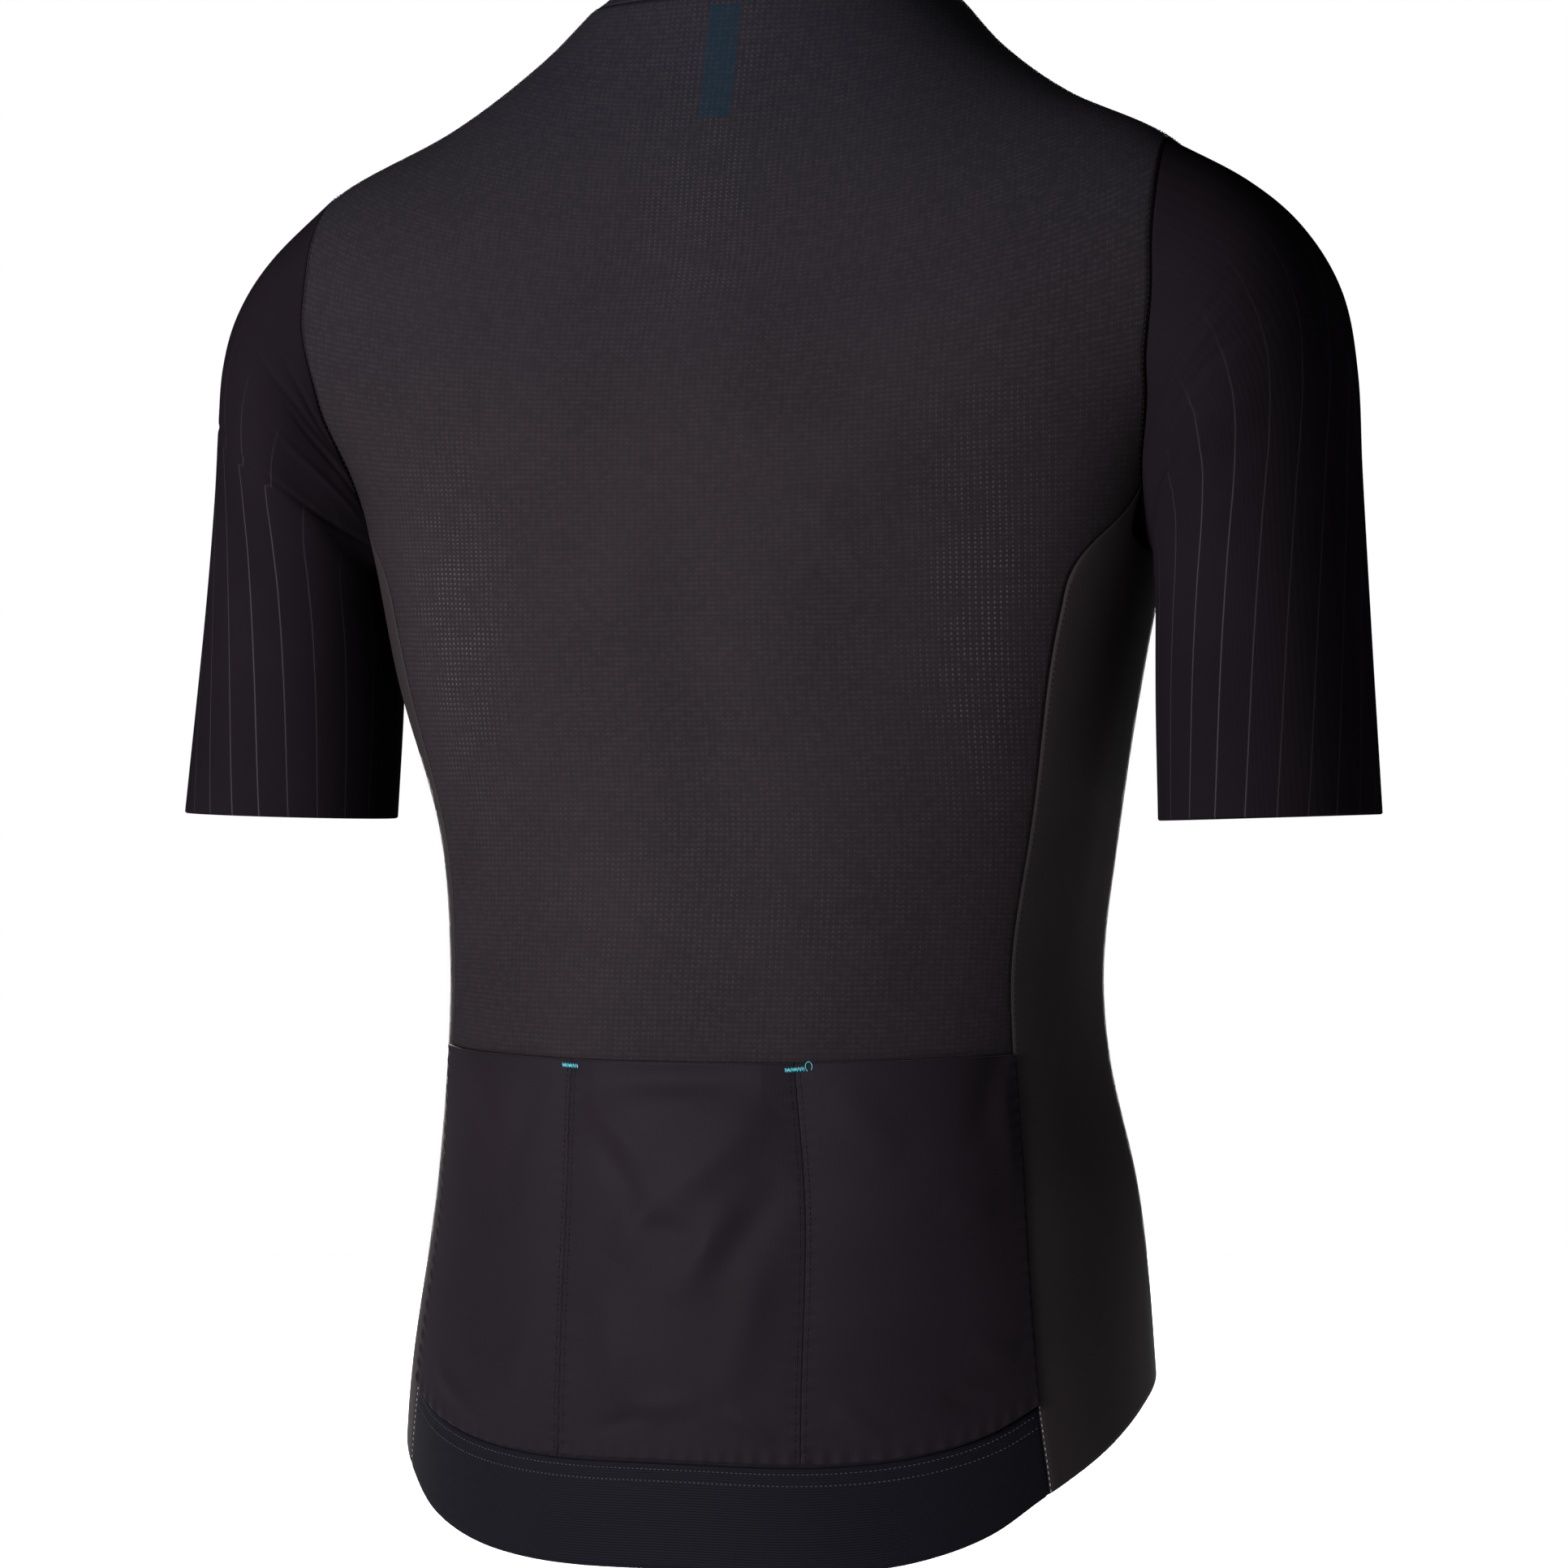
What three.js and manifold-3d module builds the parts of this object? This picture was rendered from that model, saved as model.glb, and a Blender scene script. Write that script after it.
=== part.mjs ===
// Short-sleeved race-fit cycling jersey, kept in the hollow form it has when worn.
// Millimetres, +Z up. The wearer faces -Y, so the wearer's left is +X. The origin is the centre of the
// neck's base, between the two points where the neck meets the shoulders.
import * as THREE from 'three';
import { mergeVertices } from 'three/addons/utils/BufferGeometryUtils.js';
import Module from 'manifold-3d';

// Cloth
const PANEL_WALL = 1.4;
const BAND_WALL = 1.8;
const POCKET_WALL = 1.2;
const SEAM_INSET = 0.17; // each panel stops this far short of the seam line
const LAID_GAP = 0.3; // between a panel and a piece laid on it

// Levels on the body, which are heights at the side
const WAIST_LEVEL = -430;
const UNDERARM_LEVEL = -270;
const ARMHOLE_TOP = -75;
const ARMHOLE_BOTTOM = -246;
const NECK_LEVEL = 0;
const BAND_SHARE = 0.178; // hem band's share of the height from hem to waist

// Grid steps
const STEP = 12; // degrees round the armhole and the sleeve
const BACK_SEAM_STEP = 132; // where the back seam meets the armhole
const FRONT_SEAM_STEP = -156; // where the front seam meets the armhole
const BACK_COLUMNS = 22;
const SIDE_COLUMNS = 6;
const FRONT_COLUMNS = 9;
const BAND_ROWS = 2;
const SKIRT_ROWS = 7;
const CHEST_ROWS = 6;
const UNDERARM_ROWS = 3;
const SHOULDER_ROWS = 5;

// Rings of the body from hem to neck. Half width, shift to the wearer's left, Y of the widest point,
// Y of centre back and centre front, Z of centre back and centre front, squareness, and how much
// lower the left side hangs than the middle.
const BODY_RINGS = table(
  ['level', 'half', 'shift', 'middle', 'back', 'front', 'backZ', 'frontZ', 'square', 'lean'],
  [
    [-720, 177, 0, -6, 120, -108, -720, -720, 2.25, 0],
    [-620, 172, -1, -6, 119, -108, -620, -620, 2.25, 0],
    [-530, 161.5, -3, -6, 118, -104, -530, -530, 2.2, 0],
    [-469, 152, -1, 0, 115, -100, -469, -469, 2.2, 0],
    [-430, 150.5, -1, 5, 111, -98, -430, -430, 2.2, 0],
    [-370, 157, -2, 8, 108, -99, -370, -370, 2.2, 0],
    [-300, 173, 0, 18, 110, -104, -302, -300, 2.2, 0],
    [-245, 184, 0, 21, 112, -106, -250, -245, 2.25, 0],
    [-210, 192, 0, 23, 112, -106, -219, -212, 2.3, 0.5],
    [-172, 209, 0, 27, 110, -104, -190, -183, 2.35, 1],
    [-124, 221, 0, 33, 104, -98, -158, -155, 2.4, 2],
    [-75, 197, 0, 38, 93, -84, -120, -127, 2.4, 5],
    [-49, 146, 0, 23, 82, -72, -78, -98, 2.3, 3],
    [-22, 109, 0, 6, 68, -68, -36, -70, 2.2, 0.5],
    [0, 87, 0, -4, 58, -66, 0, -45, 2.1, 0],
  ],
);

// The hem's level by the angle from the wearer's side, where 90 is centre back and -90 centre front
const HEM = table(
  ['angle', 'level'],
  [[-90, -572], [-50, -580], [-25, -596], [0, -619], [16, -641], [26, -656], [34, -670], [44, -680], [58, -686], [90, -687]],
);

// Angles of the side panel's two seams by level
const SIDE_SEAMS = table(
  ['level', 'back', 'front'],
  [
    [-720, 22, -24],
    [-654, 24.6, -24],
    [-600, 26.8, -24],
    [-536, 27.6, -24],
    [-464, 24.2, -25],
    [-405, 21.8, -26],
    [-341, 18.6, -27],
    [-272, 16.4, -24],
    [-243, 15.3, -15],
    [-217, 7.3, -6],
  ],
);

// Angles of the armhole's back and front edges, from 0 at the shoulder to 180 under the arm
const ARMHOLE = table(
  ['step', 'back', 'front'],
  [[0, 0, 0], [30, 6, -12], [60, 9.8, -23], [90, 10.6, -27], [120, 7.2, -21], [150, 3.2, -10.5], [180, 0, 0]],
);

// The shoulder seam lies this many degrees in front of the shoulder's ridge, by level
const SHOULDER_SEAM = table(['level', 'angle'], [[-75, 0], [-62, 6], [-40, 13], [0, 17]]);

// Rings of the sleeve from armhole to cuff: outer and inner points, Y of the middle, depths to the
// back and front, and how far the left sleeve's outer point hangs in and down
const SLEEVE_RINGS = table(
  ['share', 'outerX', 'outerZ', 'innerX', 'innerZ', 'middle', 'back', 'front', 'leftIn', 'leftDown'],
  [
    [0, 197, -75, 184, -246, 14, 60, 62, 0, 0],
    [0.12, 229, -91, 187.5, -252, 16, 62, 62, 2, 9],
    [0.24, 251, -109, 188, -260, 17, 62, 61, 6, 13],
    [0.36, 266, -134, 188, -270, 16, 60, 60, 10, 11],
    [0.48, 272, -166, 187.5, -281, 15, 57, 59, 10, 6],
    [0.62, 274, -210, 187, -297, 14, 55, 58, 7, 1],
    [0.8, 278, -275, 187, -323, 14, 54, 56, 4, 0],
    [1, 284, -361, 188, -364, 15, 53, 53, 0, 0],
  ],
);
const SLEEVE_SHARES = [0, 0.06, 0.13, 0.21, 0.3, 0.39, 0.49, 0.6, 0.73, 0.87, 1];
const SLEEVE_BLEND = 0.8; // by this share the sleeve has left the armhole's own shape
const SLEEVE_BLEND_POWER = 2.2;
const SLEEVE_START = 0.3; // sleeve cloth starts this far from the armhole's edge

// Soft folds, as ridges (+) or troughs (-): where they start and end, half width and height
const SLEEVE_FOLDS_RIGHT = folds([
  [128, 0.03, 60, 0.2, 11, 2.6],
  [138, 0.1, 74, 0.3, 10, -2.2],
  [146, 0.14, 96, 0.36, 12, 2],
  [-140, 0.05, -70, 0.22, 11, 2.2],
  [-150, 0.12, -100, 0.34, 11, -1.8],
]);
const SLEEVE_FOLDS_LEFT = folds([
  [14, 0.47, 150, 0.3, 12, -2.6],
  [120, 0.06, 60, 0.2, 11, 2.2],
  [136, 0.12, 84, 0.3, 11, -1.8],
  [-30, 0.46, -130, 0.3, 12, -2.2],
  [-140, 0.06, -70, 0.22, 11, 2],
]);

// Pockets: three across the lower back, open at the top
const POCKET_MOUTH = -469;
const POCKET_MOUTH_SIDE = -465.5; // at the side seams
const POCKET_DIVIDER = 25.2; // degrees from centre back
const POCKET_SPAN = 66; // degrees from centre back to the side seam
const POCKET_STITCH = 0.1; // degrees between a divider's line and the pocket's edge
const POCKET_SIDE_INSET = 0.2; // degrees from the side seam
const POCKET_FOOT = 0.8; // mm above the hem band
const POCKET_COLUMNS = 8;
const POCKET_ROWS = 7;
const POCKET_BULGES = { left: 9, centre: 9.5, right: 9 };

// Collar
const COLLAR_RINGS = table(
  ['lift', 'half', 'middle', 'back', 'front'],
  [[0, 87, -4, 58, -66], [5, 80.5, -5, 53.5, -61.5], [13, 75.5, -5.5, 50, -58.5], [24, 72.5, -6, 48, -57]],
);
const COLLAR_HEIGHT = 24;
const COLLAR_SQUARE = 2.1; // squareness of its rings
const COLLAR_ROWS = 3;
const NECK_DROP = 45; // centre front below centre back

// Zip
const ZIP_HALF_GAP = 2.7; // from the middle to each front panel's edge
const ZIP_CHAIN_HALF = 2.3;
const ZIP_TAPE_HALF = 12;
const ZIP_TAPE_THICK = 0.7;
const ZIP_CHAIN_PROUD = 0.5; // chain stands this far in front of the cloth
const ZIP_HEM_CLEAR = 6; // chain stops this far above the hem
const SLIDER = { width: 8.6, length: 10, thick: 2.4, clear: 0.6, rise: 0.56, round: 1.6 };
const BAIL = { wire: 1, inside: 1.3, leg: 1.1 };
const PULL = { width: 6.4, length: 25, thick: 1.2, bar: 0.6, hole: 2.4, holeHalf: 1, round: 2, tilt: 19 };

// Neck label, inside the centre back
const LABEL = { half: 7.4, thick: 0.9, top: -3, bottom: -35, rows: 5, columns: 2 };

const MATERIALS = {
  mesh: cloth(0x2d2a30, 0.75),
  smooth: cloth(0x242128, 0.6),
  band: cloth(0x1a1c24, 0.55),
  label: cloth(0x2f5f86, 0.6),
  tape: cloth(0x17171a, 0.8),
  metal: new THREE.MeshStandardMaterial({ color: 0x3a3a3e, roughness: 0.35, metalness: 0.8 }),
};

function cloth(color, roughness) {
  return new THREE.MeshStandardMaterial({ color, roughness, metalness: 0 });
}

function table(names, rows) {
  return { names, keys: rows.map((row) => row[0]), rows };
}

function folds(rows) {
  return rows.map(([step0, share0, step1, share1, half, height]) => ({ step0, share0, step1, share1, half, height }));
}

const radians = THREE.MathUtils.degToRad;

// A smooth curve through a table's rows: cubic pieces whose slope at a row is the mean of its two sides
function read(source, key) {
  const { keys, rows, names } = source;
  const last = keys.length - 1;
  const x = Math.min(Math.max(key, keys[0]), keys[last]);
  let i = 0;
  while (i < last - 1 && x >= keys[i + 1]) i += 1;
  const span = keys[i + 1] - keys[i];
  const t = (x - keys[i]) / span;
  const out = {};
  for (let c = 1; c < names.length; c += 1) {
    const slope = (k) => (rows[k + 1][c] - rows[k][c]) / (keys[k + 1] - keys[k]);
    const tangent = (k) => {
      if (k === 0) return slope(0);
      if (k === last) return slope(last - 1);
      return (slope(k - 1) + slope(k)) / 2;
    };
    out[names[c]] =
      (2 * t ** 3 - 3 * t ** 2 + 1) * rows[i][c] +
      (t ** 3 - 2 * t ** 2 + t) * span * tangent(i) +
      (3 * t ** 2 - 2 * t ** 3) * rows[i + 1][c] +
      (t ** 3 - t ** 2) * span * tangent(i + 1);
  }
  return out;
}

// A point on the body. Angle 0 is the wearer's left side, 90 centre back, 180 the right, -90 centre front.
function body(angle, level) {
  const ring = read(BODY_RINGS, level);
  const c = Math.cos(radians(angle));
  const s = Math.sin(radians(angle));
  const depth = s > 0 ? ring.back - ring.middle : ring.middle - ring.front;
  const radius = (Math.abs(c / ring.half) ** ring.square + Math.abs(s / depth) ** ring.square) ** (-1 / ring.square);
  const share = Math.abs((radius * s) / depth) ** 2;
  const side = level - ring.lean * c;
  const end = s > 0 ? ring.backZ : ring.frontZ;
  return new THREE.Vector3(
    ring.shift + radius * c,
    ring.middle + radius * s,
    side + (end - side) * share,
  );
}

function normalOf(surface, u, v, du, dv) {
  const along = surface(u + du, v).sub(surface(u - du, v));
  const up = surface(u, v + dv).sub(surface(u, v - dv));
  return along.cross(up).normalize();
}

const bodyNormal = (angle, level) => normalOf(body, angle, Math.min(level, NECK_LEVEL - 0.5), 0.4, 0.4);

// The armhole by steps: 0 at the shoulder, up to 180 down the back, down to -180 down the front
const armholeLevel = (step) =>
  ARMHOLE_BOTTOM + ((ARMHOLE_TOP - ARMHOLE_BOTTOM) * (1 + Math.cos(radians(step)))) / 2;

function armholeAngle(step) {
  const folded = step > 180 ? step - 360 : step;
  const row = read(ARMHOLE, Math.abs(folded));
  return folded >= 0 ? row.back : row.front;
}

const sideAngle = (angle) => (angle > 90 ? 180 - angle : angle);
const hemLevel = (angle) => read(HEM, sideAngle(angle)).level;

// Angle on the wearer's left from the same angle on either side
const onSide = (side, angle) => (side > 0 ? angle : 180 - angle);

// A wall between an outer and an inner grid of points, closed round its rim. With `round`, the first
// and last columns meet, so there is no rim there.
function wall(outer, inner, columns, rows, round = false, flip = false) {
  const across = round ? columns : columns + 1;
  const points = [];
  for (const grid of [outer, inner]) {
    for (let j = 0; j <= rows; j += 1) {
      for (let i = 0; i < across; i += 1) points.push(grid[j][i]);
    }
  }
  const layer = across * (rows + 1);
  const at = (side, i, j) => side * layer + j * across + (i % across);
  const faces = [];
  const quad = (a, b, c, d) => {
    if (flip) faces.push(a, c, b, a, d, c);
    else faces.push(a, b, c, a, c, d);
  };
  const distance = (a, b) => points[a].distanceTo(points[b]);
  for (let j = 0; j < rows; j += 1) {
    for (let i = 0; i < columns; i += 1) {
      // Each cell is split along its shorter diagonal, alike on both faces
      const [a, b, c, d] = [at(0, i, j), at(0, i + 1, j), at(0, i + 1, j + 1), at(0, i, j + 1)];
      if (distance(a, c) <= distance(b, d)) {
        quad(a, b, c, d);
        quad(a + layer, d + layer, c + layer, b + layer);
      } else {
        quad(b, c, d, a);
        quad(b + layer, a + layer, d + layer, c + layer);
      }
    }
  }
  for (let i = 0; i < columns; i += 1) {
    quad(at(0, i, 0), at(1, i, 0), at(1, i + 1, 0), at(0, i + 1, 0));
    quad(at(0, i, rows), at(0, i + 1, rows), at(1, i + 1, rows), at(1, i, rows));
  }
  if (!round) {
    for (let j = 0; j < rows; j += 1) {
      quad(at(0, 0, j), at(0, 0, j + 1), at(1, 0, j + 1), at(1, 0, j));
      quad(at(0, columns, j), at(1, columns, j), at(1, columns, j + 1), at(0, columns, j + 1));
    }
  }
  return geometry(points, faces);
}

function geometry(points, faces) {
  const shape = new THREE.BufferGeometry();
  shape.setAttribute('position', new THREE.Float32BufferAttribute(points.flatMap((p) => p.toArray()), 3));
  shape.setIndex(faces);
  shape.computeVertexNormals();
  return shape;
}

// Moves the edge points of a panel's grid into the panel, square to the edge and along the cloth
function insetEdges(grid, normals, distance) {
  const rows = grid.length - 1;
  const columns = grid[0].length - 1;
  const moved = grid.map((row) => row.map((point) => point.clone()));
  const clampRow = (j) => Math.min(Math.max(j, 0), rows);
  const clampColumn = (i) => Math.min(Math.max(i, 0), columns);
  for (let j = 0; j <= rows; j += 1) {
    for (const i of [0, columns]) {
      const tangent = grid[clampRow(j + 1)][i].clone().sub(grid[clampRow(j - 1)][i]);
      const inward = normals[j][i].clone().cross(tangent).normalize();
      moved[j][i].addScaledVector(inward, i === 0 ? -distance : distance);
    }
  }
  for (let i = 0; i <= columns; i += 1) {
    for (const j of [0, rows]) {
      const tangent = grid[j][clampColumn(i + 1)].clone().sub(grid[j][clampColumn(i - 1)]);
      const inward = normals[j][i].clone().cross(tangent).normalize();
      moved[j][i].addScaledVector(inward, j === 0 ? distance : -distance);
    }
  }
  return moved;
}

// The direction at a place on the body. On the neck seam it is the mean of the shoulder's and the collar's.
function edgeNormal(angle, level) {
  const normal = bodyNormal(angle, level);
  if (level < NECK_LEVEL) return normal;
  return normal.add(normalOf(collar, angle, 0.02, 0.4, 0.02)).normalize();
}

// A panel of the body from a grid of places, each an angle and a level
function bodyPanel(places, thickness) {
  const normals = places.map((row) => row.map(([angle, level]) => edgeNormal(angle, level)));
  const points = places.map((row) => row.map(([angle, level]) => body(angle, level)));
  const outer = insetEdges(points, normals, SEAM_INSET);
  const inner = outer.map((row, j) => row.map((point, i) => point.clone().addScaledVector(normals[j][i], -thickness)));
  return wall(outer, inner, places[0].length - 1, places.length - 1);
}

const spread = (from, to, count) => Array.from({ length: count + 1 }, (_, i) => from + ((to - from) * i) / count);

// Shares of the height from hem to waist, with a row on the hem band's top edge
const skirtShares = [...spread(0, BAND_SHARE, BAND_ROWS), ...spread(BAND_SHARE, 1, SKIRT_ROWS).slice(1)];
const skirtLevel = (angle, share) => hemLevel(angle) + share * (WAIST_LEVEL - hemLevel(angle));
const chestLevels = spread(WAIST_LEVEL, UNDERARM_LEVEL, CHEST_ROWS).slice(1);
const shoulderLevels = spread(ARMHOLE_TOP, NECK_LEVEL, SHOULDER_ROWS).slice(1);
const seam = (name, level) => read(SIDE_SEAMS, level)[name];

// Levels up a seam from the underarm line to where the seam meets the armhole
const underarmLevels = (step) => spread(UNDERARM_LEVEL, armholeLevel(step), UNDERARM_ROWS).slice(1);

// The seam's angle on a row between hem and waist, where the hem's level depends on the angle itself
function skirtSeam(name, share) {
  let angle = seam(name, WAIST_LEVEL);
  for (let pass = 0; pass < 12; pass += 1) angle = seam(name, skirtLevel(angle, share));
  return angle;
}

const rowBetween = (from, to, columns, level) => spread(from, to, columns).map((angle) => [angle, level(angle)]);

// The seam's angle above the underarm line runs on to the armhole's own angle
function upperSeam(name, step, level) {
  const top = armholeLevel(step);
  const mix = Math.max(0, (level - UNDERARM_LEVEL) / (top - UNDERARM_LEVEL)) ** 2;
  return seam(name, level) * (1 - mix) + armholeAngle(step) * mix;
}

// Back: from the hem band to the neck and over the shoulders to the shoulder seams
function backPlaces() {
  const rows = [];
  for (const share of skirtShares.slice(BAND_ROWS)) {
    const edge = skirtSeam('back', share);
    rows.push(rowBetween(edge, 180 - edge, BACK_COLUMNS, (angle) => skirtLevel(angle, share)));
  }
  for (const level of [...chestLevels, ...underarmLevels(BACK_SEAM_STEP)]) {
    const edge = upperSeam('back', BACK_SEAM_STEP, level);
    rows.push(rowBetween(edge, 180 - edge, BACK_COLUMNS, () => level));
  }
  for (let step = BACK_SEAM_STEP - STEP; step >= 0; step -= STEP) {
    const edge = armholeAngle(step);
    rows.push(rowBetween(edge, 180 - edge, BACK_COLUMNS, () => armholeLevel(step)));
  }
  for (const level of shoulderLevels) {
    const edge = -read(SHOULDER_SEAM, level).angle;
    rows.push(rowBetween(edge, 180 - edge, BACK_COLUMNS, () => level));
  }
  return rows;
}

// Hem band across the back, between the side seams
function bandPlaces() {
  return skirtShares.slice(0, BAND_ROWS + 1).map((share) => {
    const edge = skirtSeam('back', share);
    return rowBetween(edge, 180 - edge, BACK_COLUMNS, (angle) => skirtLevel(angle, share));
  });
}

// Side panel of the wearer's left, from the front seam to the back seam and up to the armhole
function sidePlaces() {
  const rows = [];
  for (const share of skirtShares) {
    rows.push(
      rowBetween(skirtSeam('front', share), skirtSeam('back', share), SIDE_COLUMNS, (angle) => skirtLevel(angle, share)),
    );
  }
  for (const level of chestLevels) {
    rows.push(rowBetween(seam('front', level), seam('back', level), SIDE_COLUMNS, () => level));
  }
  // Above the underarm line the rows bend towards the armhole's curve, and the two edges stay on the seams
  const steps = spread(360 + FRONT_SEAM_STEP, BACK_SEAM_STEP, SIDE_COLUMNS);
  const straight = spread(armholeAngle(FRONT_SEAM_STEP), armholeAngle(BACK_SEAM_STEP), SIDE_COLUMNS);
  for (let row = 1; row <= UNDERARM_ROWS; row += 1) {
    const share = row / UNDERARM_ROWS;
    rows.push(
      steps.map((step, i) => {
        const level = UNDERARM_LEVEL + share * (armholeLevel(step) - UNDERARM_LEVEL);
        const from = upperSeam('front', FRONT_SEAM_STEP, level);
        const to = upperSeam('back', BACK_SEAM_STEP, level);
        const even = from + ((to - from) * i) / SIDE_COLUMNS;
        return [even + (armholeAngle(step) - straight[i]) * share ** 2, level];
      }),
    );
  }
  return rows;
}

// Degrees from centre front to the front panel's edge along the zip
const zipEdge = (level) => frontDegrees(ZIP_HALF_GAP, level);

// Front panel of the wearer's left, from the zip to the side, armhole and shoulder seams
function frontPlaces() {
  const rows = [];
  for (const share of skirtShares) {
    const start = -90 + zipEdge(skirtLevel(-90, share));
    rows.push(rowBetween(start, skirtSeam('front', share), FRONT_COLUMNS, (angle) => skirtLevel(angle, share)));
  }
  const edges = [];
  for (const level of chestLevels) edges.push([level, seam('front', level)]);
  for (const level of underarmLevels(FRONT_SEAM_STEP)) {
    edges.push([level, upperSeam('front', FRONT_SEAM_STEP, level)]);
  }
  for (let step = FRONT_SEAM_STEP + STEP; step <= 0; step += STEP) {
    edges.push([armholeLevel(step), armholeAngle(step)]);
  }
  for (const level of shoulderLevels) edges.push([level, -read(SHOULDER_SEAM, level).angle]);
  for (const [level, edge] of edges) {
    rows.push(rowBetween(-90 + zipEdge(level), edge, FRONT_COLUMNS, () => level));
  }
  return rows;
}

// The same places on the wearer's right, in the order that keeps the outside facing out
const mirrored = (places) => places.map((row) => row.map(([angle, level]) => [180 - angle, level]).reverse());

// Height of the folds at a place on the sleeve: a soft ridge along each fold, fading at both ends
function foldHeight(list, step, share, size) {
  let height = 0;
  for (const fold of list) {
    const across = (((step - (fold.step0 + fold.step1) / 2 + 540) % 360) - 180) * radians(1) * size.round;
    const along = (share - (fold.share0 + fold.share1) / 2) * size.length;
    const runAcross = ((fold.step1 - fold.step0) / 2) * radians(1) * size.round;
    const runAlong = ((fold.share1 - fold.share0) / 2) * size.length;
    const run = Math.hypot(runAcross, runAlong);
    const forward = (across * runAcross + along * runAlong) / run;
    const aside = (across * runAlong - along * runAcross) / run;
    const fade = Math.max(0, 1 - (forward / run) ** 2);
    height += fold.height * fade * Math.exp(-((aside / fold.half) ** 2));
  }
  return height;
}

const SLEEVE_SIZE = { round: 56, length: 290 };

function sleeveOval(step, share, side) {
  const ring = read(SLEEVE_RINGS, share);
  const outerX = ring.outerX - (side > 0 ? ring.leftIn : 0);
  const outerZ = ring.outerZ - (side > 0 ? ring.leftDown : 0);
  const c = Math.cos(radians(step));
  const s = Math.sin(radians(step));
  const depth = s > 0 ? ring.back : ring.front;
  return new THREE.Vector3(
    (outerX + ring.innerX) / 2 + ((outerX - ring.innerX) / 2) * c,
    ring.middle + depth * s,
    (outerZ + ring.innerZ) / 2 + ((outerZ - ring.innerZ) / 2) * c,
  );
}

// The body's edge at an armhole, carried to the wearer's left
function armholeEdge(step, side) {
  const angle = onSide(side, armholeAngle(step));
  const level = armholeLevel(step);
  const carry = new THREE.Vector3(side, 1, 1);
  return {
    point: body(angle, level).multiply(carry),
    normal: bodyNormal(angle, level).multiply(carry),
  };
}

// A point of the sleeve's outside, on the wearer's left: an oval, blended into the armhole's edge
function sleeveSmooth(step, share, side) {
  const fade = Math.max(0, 1 - share / SLEEVE_BLEND) ** SLEEVE_BLEND_POWER;
  const point = sleeveOval(step, share, side);
  const away = armholeEdge(step, side).point.sub(sleeveOval(step, 0, side));
  return point.addScaledVector(away, fade);
}

function sleeveNormal(step, share, side) {
  const surface = (u, v) => sleeveSmooth(u, v, side);
  return normalOf(surface, step, Math.min(Math.max(share, 0.01), 0.99), 1, 0.01).negate();
}

function sleeveGeometry(side) {
  const foldList = side > 0 ? SLEEVE_FOLDS_LEFT : SLEEVE_FOLDS_RIGHT;
  const steps = spread(0, 360, 360 / STEP).slice(0, -1);
  const outer = [];
  const inner = [];
  for (const share of SLEEVE_SHARES) {
    const outerRow = [];
    const innerRow = [];
    for (const step of steps) {
      const folded = step > 180 ? step - 360 : step;
      const normal = sleeveNormal(folded, share, side);
      const point = sleeveSmooth(folded, share, side);
      point.addScaledVector(normal, foldHeight(foldList, folded, share, SLEEVE_SIZE));
      const back = point.clone().addScaledVector(normal, -PANEL_WALL);
      if (share === 0) startSleeve(point, back, folded, side);
      outerRow.push(point);
      innerRow.push(back);
    }
    outer.push(outerRow);
    inner.push(innerRow);
  }
  const carry = new THREE.Vector3(side, 1, 1);
  for (const grid of [outer, inner]) grid.forEach((row) => row.forEach((point) => point.multiply(carry)));
  return wall(outer, inner, steps.length, SLEEVE_SHARES.length - 1, true, side > 0);
}

// Moves the sleeve's first ring clear of the body's edge: across the armhole at the shoulder, and off
// the body's face under the arm, where the two walls hang side by side
function startSleeve(point, back, step, side) {
  const edge = armholeEdge(step, side);
  const before = armholeEdge(step - 1, side).point;
  const after = armholeEdge(step + 1, side).point;
  const across = edge.normal.clone().cross(after.sub(before)).normalize();
  const centre = body(onSide(side, -4), (ARMHOLE_TOP + ARMHOLE_BOTTOM) / 2).multiply(new THREE.Vector3(side, 1, 1));
  if (across.dot(centre.sub(edge.point)) < 0) across.negate();
  const half = radians(Math.abs(step)) / 2;
  const start = across.clone().multiplyScalar(Math.cos(half)).addScaledVector(edge.normal, Math.sin(half));
  for (const place of [point, back]) {
    place.addScaledVector(start, SLEEVE_START);
    const off = place.clone().sub(edge.point);
    const short = SLEEVE_START - off.dot(across);
    if (off.dot(edge.normal) < SLEEVE_START * 0.9 && short > 0) place.addScaledVector(across, short);
  }
}

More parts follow.
